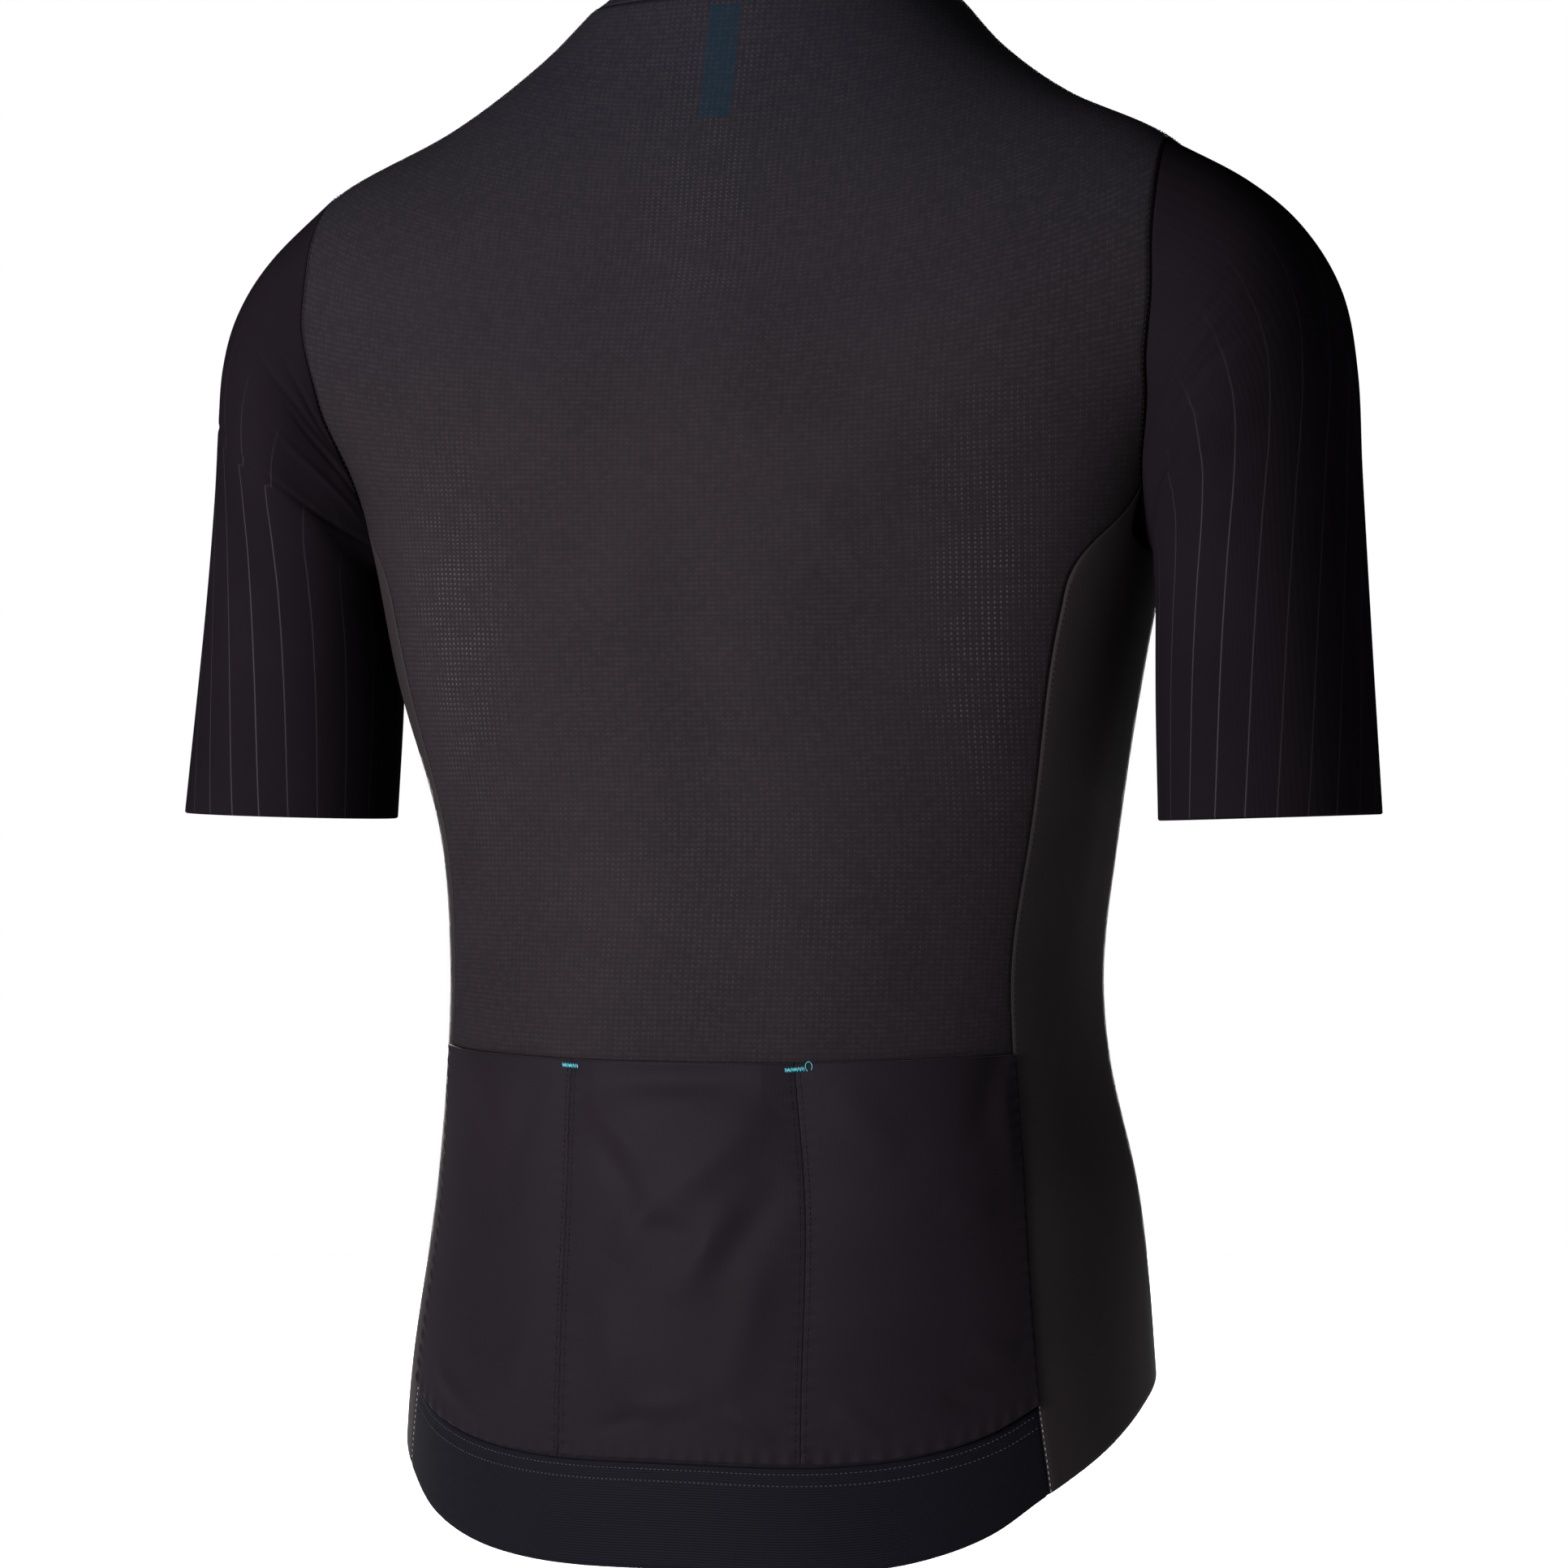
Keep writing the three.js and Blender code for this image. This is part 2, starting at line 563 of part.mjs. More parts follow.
// One pocket: cloth laid on the back panel's face, held at the foot and both sides, and standing off
// towards its mouth
function pocketGeometry(fromAngle, toAngle, bulge) {
  const angles = (share, level) => {
    const from = fromAngle(level);
    return from + (toAngle(level) - from) * share;
  };
  const outer = [];
  const inner = [];
  for (let j = 0; j <= POCKET_ROWS; j += 1) {
    const rise = j / POCKET_ROWS;
    const outerRow = [];
    const innerRow = [];
    for (let i = 0; i <= POCKET_COLUMNS; i += 1) {
      const share = i / POCKET_COLUMNS;
      let angle = angles(share, POCKET_MOUTH);
      let level = POCKET_MOUTH;
      for (let pass = 0; pass < 6; pass += 1) {
        const foot = skirtLevel(angle, BAND_SHARE) + POCKET_FOOT;
        const side = Math.abs(angle - 90) / POCKET_SPAN;
        const mouth = POCKET_MOUTH + (POCKET_MOUTH_SIDE - POCKET_MOUTH) * side ** 2;
        level = foot + (mouth - foot) * rise;
        angle = angles(share, level);
      }
      const normal = bodyNormal(angle, level);
      const lift = LAID_GAP + bulge * Math.sin(Math.PI * share) ** 0.8 * Math.sin((Math.PI / 2) * rise) ** 1.2;
      const point = body(angle, level);
      innerRow.push(point.clone().addScaledVector(normal, lift));
      outerRow.push(point.clone().addScaledVector(normal, lift + POCKET_WALL));
    }
    outer.push(outerRow);
    inner.push(innerRow);
  }
  return wall(outer, inner, POCKET_COLUMNS, POCKET_ROWS);
}

// A point of the collar. Rise 0 is the neck seam and 1 the top edge.
function collar(angle, rise) {
  const ring = read(COLLAR_RINGS, rise * COLLAR_HEIGHT);
  const c = Math.cos(radians(angle));
  const s = Math.sin(radians(angle));
  const depth = s > 0 ? ring.back - ring.middle : ring.middle - ring.front;
  const squared = Math.abs(c / ring.half) ** COLLAR_SQUARE + Math.abs(s / depth) ** COLLAR_SQUARE;
  const radius = squared ** (-1 / COLLAR_SQUARE);
  const share = Math.abs((radius * s) / depth) ** 2;
  const drop = s > 0 ? 0 : NECK_DROP;
  return new THREE.Vector3(radius * c, ring.middle + radius * s, rise * COLLAR_HEIGHT - drop * share);
}

// The collar's columns stand on the same angles as the columns of the panels below it
function collarAngles() {
  const zip = zipEdge(NECK_LEVEL);
  const seamAngle = read(SHOULDER_SEAM, NECK_LEVEL).angle;
  const front = spread(-90 + zip, -seamAngle, FRONT_COLUMNS);
  const back = spread(-seamAngle, 180 + seamAngle, BACK_COLUMNS);
  return [...front, ...back.slice(1, -1), ...front.map((angle) => 180 - angle).reverse()];
}

function collarGeometry() {
  const angles = collarAngles();
  const points = [];
  const normals = [];
  for (const rise of spread(0, 1, COLLAR_ROWS)) {
    const inside = Math.min(Math.max(rise, 0.02), 0.98);
    points.push(angles.map((angle) => collar(angle, rise)));
    normals.push(angles.map((angle) => normalOf(collar, angle, inside, 0.4, 0.02)));
  }
  // The first row takes the mean of the collar's and the shoulder's directions, so the walls' ends face each other
  normals[0] = angles.map((angle) => edgeNormal(angle, NECK_LEVEL));
  const outer = insetEdges(points, normals, SEAM_INSET);
  const inner = outer.map((row, j) => row.map((point, i) => point.clone().addScaledVector(normals[j][i], -PANEL_WALL)));
  return wall(outer, inner, angles.length - 1, COLLAR_ROWS);
}

// Degrees from centre front to a place this far to the side
function frontDegrees(x, level) {
  const ring = read(BODY_RINGS, level);
  return THREE.MathUtils.radToDeg(Math.asin(x / (ring.middle - ring.front)));
}

// Rows up the centre front from above the hem to the collar's top, on the rows of the front panels. Each
// gives the cloth's outside and its direction at a distance x from the middle.
function frontLine() {
  const rows = frontPlaces().map((row) => row[0][1]);
  rows[0] += ZIP_HEM_CLEAR;
  const line = rows.map((level) => (x) => {
    const angle = -90 + frontDegrees(x, level);
    return { point: body(angle, level), normal: edgeNormal(angle, level) };
  });
  for (const rise of [...spread(0, 1, COLLAR_ROWS).slice(1, -1), 0.97]) {
    line.push((x) => {
      const angle = -90 + frontDegrees(x, NECK_LEVEL);
      return { point: collar(angle, rise), normal: normalOf(collar, angle, rise, 0.4, 0.02) };
    });
  }
  return line;
}

// Zip: a flat tape behind the two fronts, with the chain standing in the gap between them
function zipGeometry() {
  const behind = PANEL_WALL + LAID_GAP;
  const section = [
    [-ZIP_TAPE_HALF, -behind - ZIP_TAPE_THICK],
    [ZIP_TAPE_HALF, -behind - ZIP_TAPE_THICK],
    [ZIP_TAPE_HALF, -behind],
    [ZIP_CHAIN_HALF, -behind],
    [ZIP_CHAIN_HALF, ZIP_CHAIN_PROUD],
    [-ZIP_CHAIN_HALF, ZIP_CHAIN_PROUD],
    [-ZIP_CHAIN_HALF, -behind],
    [-ZIP_TAPE_HALF, -behind],
  ];
  const line = frontLine();
  const points = [];
  for (const cloth of line) {
    for (const [x, out] of section) {
      const { point, normal } = cloth(x);
      points.push(point.addScaledVector(normal, out));
    }
  }
  const n = section.length;
  const faces = [];
  for (let j = 0; j < line.length - 1; j += 1) {
    for (let i = 0; i < n; i += 1) {
      const a = j * n + i;
      const b = j * n + ((i + 1) % n);
      faces.push(a, b + n, b, a, a + n, b + n);
    }
  }
  const cap = [[0, 1, 2], [0, 2, 3], [0, 3, 6], [0, 6, 7], [3, 4, 5], [3, 5, 6]];
  const top = (line.length - 1) * n;
  for (const [a, b, c] of cap) {
    faces.push(a, b, c);
    faces.push(top + a, top + c, top + b);
  }
  return geometry(points, faces);
}

// Label: a narrow flat strip hanging inside the centre back from the neck seam
function labelGeometry() {
  const outer = [];
  const inner = [];
  for (const level of spread(LABEL.bottom, LABEL.top, LABEL.rows)) {
    const half = THREE.MathUtils.radToDeg(LABEL.half / (body(90, level).y + 4));
    const row = spread(90 - half, 90 + half, LABEL.columns);
    const behind = (distance) => row.map((angle) => body(angle, level).addScaledVector(bodyNormal(angle, level), -distance));
    outer.push(behind(PANEL_WALL + LAID_GAP));
    inner.push(behind(PANEL_WALL + LAID_GAP + LABEL.thick));
  }
  return wall(outer, inner, LABEL.columns, LABEL.rows);
}

// Joins closed solids into one
const wasm = await Module();
wasm.setup();

function joined(shapes) {
  const solids = shapes.map((shape) => {
    const bare = shape.clone();
    bare.deleteAttribute('normal');
    bare.deleteAttribute('uv');
    const merged = mergeVertices(bare.index ? bare.toNonIndexed() : bare);
    const vertProperties = new Float32Array(merged.attributes.position.array);
    return new wasm.Manifold(new wasm.Mesh({ numProp: 3, vertProperties, triVerts: new Uint32Array(merged.index.array) }));
  });
  const mesh = solids.reduce((sum, solid) => sum.add(solid)).getMesh();
  const out = new THREE.BufferGeometry();
  out.setAttribute('position', new THREE.Float32BufferAttribute(mesh.vertProperties, 3));
  out.setIndex([...mesh.triVerts]);
  return out;
}

// A rectangle with rounded corners, centred on x = 0
function roundedPlate(half, bottom, top, round) {
  const plate = new THREE.Shape();
  plate.moveTo(-half, bottom + round);
  plate.absarc(-half + round, bottom + round, round, Math.PI, 1.5 * Math.PI);
  plate.absarc(half - round, bottom + round, round, 1.5 * Math.PI, 2 * Math.PI);
  plate.absarc(half - round, top - round, round, 0, 0.5 * Math.PI);
  plate.absarc(-half + round, top - round, round, 0.5 * Math.PI, Math.PI);
  return plate;
}

const plain = { bevelEnabled: false, curveSegments: 5 };

// Slider: a plate over the chain with an upright loop for the pull. Locally +Y runs up the zip and +Z
// points away from the chest.
function sliderGeometry() {
  const plate = new THREE.ExtrudeGeometry(
    roundedPlate(SLIDER.width / 2, -SLIDER.length / 2, SLIDER.length / 2, SLIDER.round),
    { ...plain, depth: SLIDER.thick },
  );
  const outside = BAIL.inside + BAIL.wire;
  const root = -SLIDER.thick / 2;
  const loop = new THREE.Shape();
  loop.moveTo(-outside, root);
  loop.lineTo(-BAIL.inside, root);
  loop.lineTo(-BAIL.inside, BAIL.leg);
  loop.absarc(0, BAIL.leg, BAIL.inside, Math.PI, 0, true);
  loop.lineTo(BAIL.inside, root);
  loop.lineTo(outside, root);
  loop.lineTo(outside, BAIL.leg);
  loop.absarc(0, BAIL.leg, outside, 0, Math.PI);
  const bail = new THREE.ExtrudeGeometry(loop, { ...plain, curveSegments: 8, depth: BAIL.wire });
  bail.translate(0, 0, -BAIL.wire / 2);
  bail.rotateX(Math.PI / 2);
  bail.rotateZ(Math.PI / 2);
  bail.translate(0, 0, SLIDER.thick);
  return joined([plate, bail]);
}

// Pull: a flat tab whose top bar turns inside the slider's loop. Locally the pivot is the origin and the
// tab hangs towards -Y.
function pullGeometry() {
  const plate = roundedPlate(PULL.width / 2, -PULL.length, PULL.bar, PULL.bar);
  const hole = new THREE.Path();
  hole.moveTo(-PULL.holeHalf, -PULL.bar);
  hole.lineTo(PULL.holeHalf, -PULL.bar);
  hole.lineTo(PULL.holeHalf, -PULL.bar - PULL.hole);
  hole.lineTo(-PULL.holeHalf, -PULL.bar - PULL.hole);
  hole.closePath();
  plate.holes.push(hole);
  const tab = new THREE.ExtrudeGeometry(plate, { ...plain, depth: PULL.thick });
  tab.translate(0, 0, -PULL.thick / 2);
  return tab;
}

const group = new THREE.Group();

function add(name, shape, material, parent = group) {
  const mesh = new THREE.Mesh(shape, material);
  mesh.name = name;
  parent.add(mesh);
  return mesh;
}

function addBody() {
  add('back_panel', bodyPanel(backPlaces(), PANEL_WALL), MATERIALS.mesh);
  add('hem_band_back', bodyPanel(bandPlaces(), BAND_WALL), MATERIALS.band);
  add('side_panel_left', bodyPanel(sidePlaces(), PANEL_WALL), MATERIALS.smooth);
  add('side_panel_right', bodyPanel(mirrored(sidePlaces()), PANEL_WALL), MATERIALS.smooth);
  add('front_left', bodyPanel(frontPlaces(), PANEL_WALL), MATERIALS.mesh);
  add('front_right', bodyPanel(mirrored(frontPlaces()), PANEL_WALL), MATERIALS.mesh);
}

function addSleeves() {
  add('sleeve_left', sleeveGeometry(1), MATERIALS.smooth);
  add('sleeve_right', sleeveGeometry(-1), MATERIALS.smooth);
}

function addPockets() {
  const seamEdge = (level) => seam('back', level) + POCKET_SIDE_INSET;
  const nearLeft = () => 90 - POCKET_DIVIDER;
  const nearRight = () => 90 + POCKET_DIVIDER;
  add(
    'pocket_left',
    pocketGeometry(seamEdge, () => nearLeft() - POCKET_STITCH, POCKET_BULGES.left),
    MATERIALS.smooth,
  );
  add(
    'pocket_centre',
    pocketGeometry(() => nearLeft() + POCKET_STITCH, () => nearRight() - POCKET_STITCH, POCKET_BULGES.centre),
    MATERIALS.smooth,
  );
  add(
    'pocket_right',
    pocketGeometry(() => nearRight() + POCKET_STITCH, (level) => 180 - seamEdge(level), POCKET_BULGES.right),
    MATERIALS.smooth,
  );
}

function addNeck() {
  add('collar', collarGeometry(), MATERIALS.mesh);
  add('neck_label', labelGeometry(), MATERIALS.label);
}

function addZip() {
  add('zip', zipGeometry(), MATERIALS.tape);
  const seat = collar(-90, SLIDER.rise);
  const out = normalOf(collar, -90, SLIDER.rise, 0.4, 0.02);
  const lean = Math.atan2(-out.y, out.z);
  const base = seat.clone().addScaledVector(out, ZIP_CHAIN_PROUD + SLIDER.clear);
  const slider = add('zip_slider', sliderGeometry(), MATERIALS.metal);
  slider.position.copy(base);
  slider.rotation.x = lean;
  const pull = add('zip_pull', pullGeometry(), MATERIALS.metal);
  pull.position.copy(base).addScaledVector(out, SLIDER.thick + BAIL.leg);
  pull.rotation.x = Math.PI / 2 - radians(PULL.tilt);
}

addBody();
addSleeves();
addPockets();
addNeck();
addZip();

export default group;
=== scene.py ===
"""Looks of a worn short-sleeved cycling jersey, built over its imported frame.

Tables are in millimetres and degrees, and meshes are written in metres. The wearer faces -Y, so the
wearer's left is +X. Angles go round the body: 0 at the wearer's left, 90 at centre back, 180 at the
wearer's right and -90 at centre front. A level is the height at the side.
"""

import math

import bpy
import numpy as np
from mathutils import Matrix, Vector


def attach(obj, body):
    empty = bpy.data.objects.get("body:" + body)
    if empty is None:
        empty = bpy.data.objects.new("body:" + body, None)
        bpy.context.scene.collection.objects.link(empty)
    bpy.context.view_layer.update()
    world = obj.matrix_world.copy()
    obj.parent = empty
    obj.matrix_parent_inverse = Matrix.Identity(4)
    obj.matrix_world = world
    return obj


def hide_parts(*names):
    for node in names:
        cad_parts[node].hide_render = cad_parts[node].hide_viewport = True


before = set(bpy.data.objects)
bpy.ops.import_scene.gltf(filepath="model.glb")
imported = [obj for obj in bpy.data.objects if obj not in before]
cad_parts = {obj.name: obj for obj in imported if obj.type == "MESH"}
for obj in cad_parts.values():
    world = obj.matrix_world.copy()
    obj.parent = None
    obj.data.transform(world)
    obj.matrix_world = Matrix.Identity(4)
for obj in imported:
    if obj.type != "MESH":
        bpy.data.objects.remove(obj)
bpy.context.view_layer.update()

MM = 0.001

# Cloth walls, edges and seams
PANEL_WALL = 1.4
BAND_WALL = 1.8
POCKET_WALL = 1.2
LAID_GAP = 0.3  # between a panel and a piece laid on it
HEM_ROLL = 0.6
GROOVE_DEPTH = 0.25
GROOVE_HALF = 1.2
ALLOWANCE_HALF = 3.2
ALLOWANCE_THICK = 0.5
ALLOWANCE_GAP = 0.35  # between the cloth and the seam allowance inside it

# Mesh
RIB_PITCH = 2.2
EYELET_PITCH = 2.7
EYELET_LEAST = 0.1  # how far the eyelets are open where the cloth isn't stretched

# Scales that turn angles to mm of cloth, and the rise beside the armholes
BODY_ROUND = 150  # mm a radian
SIDE_MM = 3.5  # mm a degree at the body's side
ARMHOLE_RISE = 5
ARMHOLE_REACH = 12

# Levels on the body
WAIST_LEVEL = -430
UNDERARM_LEVEL = -270
ARMHOLE_TOP = -75
ARMHOLE_BOTTOM = -246
NECK_LEVEL = 0
BAND_SHARE = 0.178  # hem band's share of the height from hem to waist
BACK_SEAM_STEP = 132  # where the back seam meets the armhole
FRONT_SEAM_STEP = -156  # where the front seam meets the armhole

# Rings of the body: level, half width, shift to the left, Y of the widest point, Y of centre back and
# centre front, Z of both, squareness, and how much lower the left side hangs than the middle
BODY_RINGS = [
    [-720, 177, 0, -6, 120, -108, -720, -720, 2.25, 0],
    [-620, 172, -1, -6, 119, -108, -620, -620, 2.25, 0],
    [-530, 161.5, -3, -6, 118, -104, -530, -530, 2.2, 0],
    [-469, 152, -1, 0, 115, -100, -469, -469, 2.2, 0],
    [-430, 150.5, -1, 5, 111, -98, -430, -430, 2.2, 0],
    [-370, 157, -2, 8, 108, -99, -370, -370, 2.2, 0],
    [-300, 173, 0, 18, 110, -104, -302, -300, 2.2, 0],
    [-245, 184, 0, 21, 112, -106, -250, -245, 2.25, 0],
    [-210, 192, 0, 23, 112, -106, -219, -212, 2.3, 0.5],
    [-172, 209, 0, 27, 110, -104, -190, -183, 2.35, 1],
    [-124, 221, 0, 33, 104, -98, -158, -155, 2.4, 2],
    [-75, 197, 0, 38, 93, -84, -120, -127, 2.4, 5],
    [-49, 146, 0, 23, 82, -72, -78, -98, 2.3, 3],
    [-22, 109, 0, 6, 68, -68, -36, -70, 2.2, 0.5],
    [0, 87, 0, -4, 58, -66, 0, -45, 2.1, 0],
]

# Hem level by the angle from the side
HEM = [
    [-90, -572], [-50, -580], [-25, -596], [0, -619], [16, -641],
    [26, -656], [34, -670], [44, -680], [58, -686], [90, -687],
]

# Level, angle of the side panel's back seam and of its front seam
SIDE_SEAMS = [
    [-720, 22, -24],
    [-654, 24.6, -24],
    [-600, 26.8, -24],
    [-536, 27.6, -24],
    [-464, 24.2, -25],
    [-405, 21.8, -26],
    [-341, 18.6, -27],
    [-272, 16.4, -24],
    [-243, 15.3, -15],
    [-217, 7.3, -6],
]

# Step round the armhole from the shoulder, angle of its back edge and of its front edge
ARMHOLE = [
    [0, 0, 0], [30, 6, -12], [60, 9.8, -23], [90, 10.6, -27],
    [120, 7.2, -21], [150, 3.2, -10.5], [180, 0, 0],
]

# Level, and how many degrees the shoulder seam lies in front of the shoulder's ridge
SHOULDER_SEAM = [[-75, 0], [-62, 6], [-40, 13], [0, 17]]

# Rings of the sleeve by its share from armhole to cuff: outer point, inner point, Y of the middle,
# depths to the back and front, and how far the left sleeve's outer point hangs in and down
SLEEVE_RINGS = [
    [0, 197, -75, 184, -246, 14, 60, 62, 0, 0],
    [0.12, 229, -91, 187.5, -252, 16, 62, 62, 2, 9],
    [0.24, 251, -109, 188, -260, 17, 62, 61, 6, 13],
    [0.36, 266, -134, 188, -270, 16, 60, 60, 10, 11],
    [0.48, 272, -166, 187.5, -281, 15, 57, 59, 10, 6],
    [0.62, 274, -210, 187, -297, 14, 55, 58, 7, 1],
    [0.8, 278, -275, 187, -323, 14, 54, 56, 4, 0],
    [1, 284, -361, 188, -364, 15, 53, 53, 0, 0],
]
SLEEVE_BLEND = 0.8  # by this share the sleeve has left the armhole's own shape
SLEEVE_BLEND_POWER = 2.2
SLEEVE_START = 0.02  # sleeve cloth starts this far from the armhole's edge
SLEEVE_ROUND = 56  # mm a radian
SLEEVE_LENGTH = 290

# Soft creases of the sleeves: step and share where each starts and ends, half width, height
SLEEVE_CREASES_RIGHT = [
    [128, 0.03, 60, 0.2, 11, 1.1],
    [138, 0.1, 74, 0.3, 10, -0.9],
    [146, 0.14, 96, 0.36, 12, 0.9],
    [-140, 0.05, -70, 0.22, 11, 1.1],
    [-150, 0.12, -100, 0.34, 11, -0.9],
    [118, 0.01, 48, 0.21, 1.7, -0.9],
    [122, 0.04, 52, 0.24, 2, 0.7],
    [124, 0.06, 46, 0.34, 1.7, -1],
    [126, 0.09, 62, 0.33, 2, 0.6],
    [132, 0.05, 70, 0.38, 1.8, -0.9],
    [140, 0.09, 80, 0.42, 2.2, 0.7],
    [146, 0.12, 92, 0.43, 1.8, -0.8],
    [-146, 0.06, -80, 0.2, 3, -0.8],
    [-150, 0.1, -92, 0.27, 3, 0.7],
]
SLEEVE_CREASES_LEFT = [
    [120, 0.06, 60, 0.2, 11, 0.9],
    [136, 0.12, 84, 0.3, 11, -0.8],
    [-30, 0.46, -130, 0.3, 12, -1.2],
    [-140, 0.06, -70, 0.22, 11, 1],
    [14, 0.54, 98, 0.333, 1.5, -0.75],
    [70, 0.43, 128, 0.17, 1.5, -0.8],
    [108, 0.28, 160, 0.01, 1.6, -0.8],
    [58, 0.15, 124, -0.01, 1.7, -0.6],
    [70, 0.07, 124, -0.01, 1.6, -0.6],
    [86, 0.1, 138, -0.01, 1.6, -0.6],
    [90, 0.17, 142, 0.02, 2.2, 0.6],
    [-146, 0.06, -80, 0.22, 3.4, -0.8],
]
# Where the left sleeve's long fold runs, as step and share. The stripes jump across it.
SLEEVE_FOLD = [
    [0, 0.56], [52, 0.475], [80, 0.403], [98, 0.333], [113, 0.247],
    [126, 0.18], [135, 0.133], [154, 0.04], [180, 0],
]

# Pockets
POCKET_MOUTH = -469
POCKET_MOUTH_SIDE = -465.5
POCKET_DIVIDER = 25.2  # degrees from centre back
POCKET_SPAN = 66  # degrees from centre back to the side seam
POCKET_SIDE_INSET = 0.05  # degrees from the side seam
POCKET_FOOT = 0.8  # mm above the hem band
POCKET_BULGES = {"left": 3.78, "centre": 3.99, "right": 3.78}
PUCKER_PITCH = 6.5
FOOT_PUCKER_PITCH = 8.3
PUCKER_HEIGHT = 0.28

# Collar: lift, half width, Y of the middle, of the back and of the front
COLLAR_RINGS = [
    [0, 87, -4, 58, -66],
    [5, 80.5, -5, 53.5, -61.5],
    [13, 75.5, -5.5, 50, -58.5],
    [24, 72.5, -6, 48, -57],
]
COLLAR_HEIGHT = 24
COLLAR_SQUARE = 2.1
NECK_DROP = 45

# Zip
ZIP_HALF_GAP = 2.7
ZIP_TAPE_HALF = 12
ZIP_TAPE_THICK = 0.7
ZIP_HEM_CLEAR = 6
TOOTH_PITCH = 1.35
CHAIN_PROUD = 0.45

# Neck label
LABEL_HALF = 7.4
LABEL_TOP = -3
LABEL_BOTTOM = -35
LABEL_THICK = 0.9


# Shape


def unit(vectors):
    return vectors / np.maximum(np.linalg.norm(vectors, axis=-1, keepdims=True), 1e-9)


def read(table, key):
    """A table's rows joined by cubic pieces. The slope at a row is the mean of its two sides' slopes."""
    table = np.asarray(table, float)
    keys, values = table[:, 0], table[:, 1:]
    slopes = np.diff(values, axis=0) / np.diff(keys)[:, None]
    tangents = np.vstack([slopes[:1], (slopes[:-1] + slopes[1:]) / 2, slopes[-1:]])
    key = np.clip(np.asarray(key, float), keys[0], keys[-1])
    i = np.clip(np.searchsorted(keys, key, side="right") - 1, 0, len(keys) - 2)
    span = (keys[i + 1] - keys[i])[..., None]
    t = (key - keys[i])[..., None] / span
    start = (2 * t**3 - 3 * t**2 + 1) * values[i] + (t**3 - 2 * t**2 + t) * span * tangents[i]
    end = (3 * t**2 - 2 * t**3) * values[i + 1] + (t**3 - t**2) * span * tangents[i + 1]
    return np.moveaxis(start + end, -1, 0)


def superellipse(angle, half, middle, back, front, square):
    """The ring |x / half|^square + |y / depth|^square = 1, with its own depth behind and in front: X, Y
    from the middle, whether each place is behind, and its share of the depth."""
    behind = np.sin(np.radians(angle)) > 0
    depth = np.where(behind, back - middle, middle - front)
    c, s = np.cos(np.radians(angle)), np.sin(np.radians(angle))
    radius = (np.abs(c / half) ** square + np.abs(s / depth) ** square) ** (-1 / square)
    return radius * c, radius * s, behind, radius * s / depth


def paired(first, second):
    return np.broadcast_arrays(np.asarray(first, float), np.asarray(second, float))


def body(angle, level):
    """A ring read at the level, whose height runs from the side's to the centre's with the square of
    the share of the depth."""
    angle, level = paired(angle, level)
    half, shift, middle, back, front, back_z, front_z, square, lean = read(BODY_RINGS, level)
    x, y, behind, share = superellipse(angle, half, middle, back, front, square)
    side = level - lean * np.cos(np.radians(angle))
    z = side + (np.where(behind, back_z, front_z) - side) * share**2
    return np.stack([shift + x, middle + y, z], -1)


def collar(angle, rise):
    """A ring read at the rise, dropped towards centre front with the square of the share of the depth."""
    angle, rise = paired(angle, rise)
    half, middle, back, front = read(COLLAR_RINGS, rise * COLLAR_HEIGHT)
    x, y, behind, share = superellipse(angle, half, middle, back, front, COLLAR_SQUARE)
    drop = np.where(behind, 0, NECK_DROP)
    return np.stack([x, middle + y, rise * COLLAR_HEIGHT - drop * share**2], -1)


def normal_of(surface, u, v, du, dv):
    """The direction square to a surface: the cross product of its two central differences."""
    across = surface(u + du, v) - surface(u - du, v)
    return unit(np.cross(across, surface(u, v + dv) - surface(u, v - dv)))


def collar_normal(angle, rise):
    return normal_of(collar, angle, np.clip(rise, 0.02, 0.98), 0.4, 0.02)


def body_normal(angle, level):
    """The body's direction. On the neck seam it is the mean of the shoulder's and the collar's."""
    angle, level = paired(angle, level)
    normal = normal_of(body, angle, np.minimum(level, NECK_LEVEL - 0.5), 0.4, 0.4)
    mean = unit(normal + collar_normal(angle, np.full(angle.shape, 0.02)))
    return np.where((level < NECK_LEVEL)[..., None], normal, mean)


def wave(across, along, turn, pitch, start):
    """A sine wave across a direction turned by some degrees."""
    run = across * math.cos(math.radians(turn)) + along * math.sin(math.radians(turn))
    return np.sin(2 * np.pi * run / pitch + start)


def creases(table, across, along):
    """Sum of ridges, each (1 - forward^2) along its run, times a bell curve across it. Rows hold where
    each starts and ends, its half width and its height, all in mm."""
    height = np.zeros(np.shape(across))
    for x0, y0, x1, y1, half, tall in table:
        run = math.hypot(x1 - x0, y1 - y0) / 2
        dx, dy = across - (x0 + x1) / 2, along - (y0 + y1) / 2
        forward = (dx * (x1 - x0) + dy * (y1 - y0)) / (2 * run * run)
        aside = (dx * (y1 - y0) - dy * (x1 - x0)) / (2 * run * half)
        height += tall * np.clip(1 - forward**2, 0, None) * np.exp(-(aside**2))
    return height


# Places on the body, as angles and levels


def seam(name, level):
    return read(SIDE_SEAMS, level)[0 if name == "back" else 1]


def hem_level(angle):
    return read(HEM, np.where(np.asarray(angle) > 90, 180 - np.asarray(angle), angle))[0]


def skirt_level(angle, share):
    return hem_level(angle) + share * (WAIST_LEVEL - hem_level(angle))


def skirt_seam(name, share):
    """The seam's angle at a share of the height from hem to waist, found by twelve repeats."""
    angle = seam(name, np.full(np.shape(share), float(WAIST_LEVEL)))
    for _ in range(12):
        angle = seam(name, skirt_level(angle, share))
    return angle


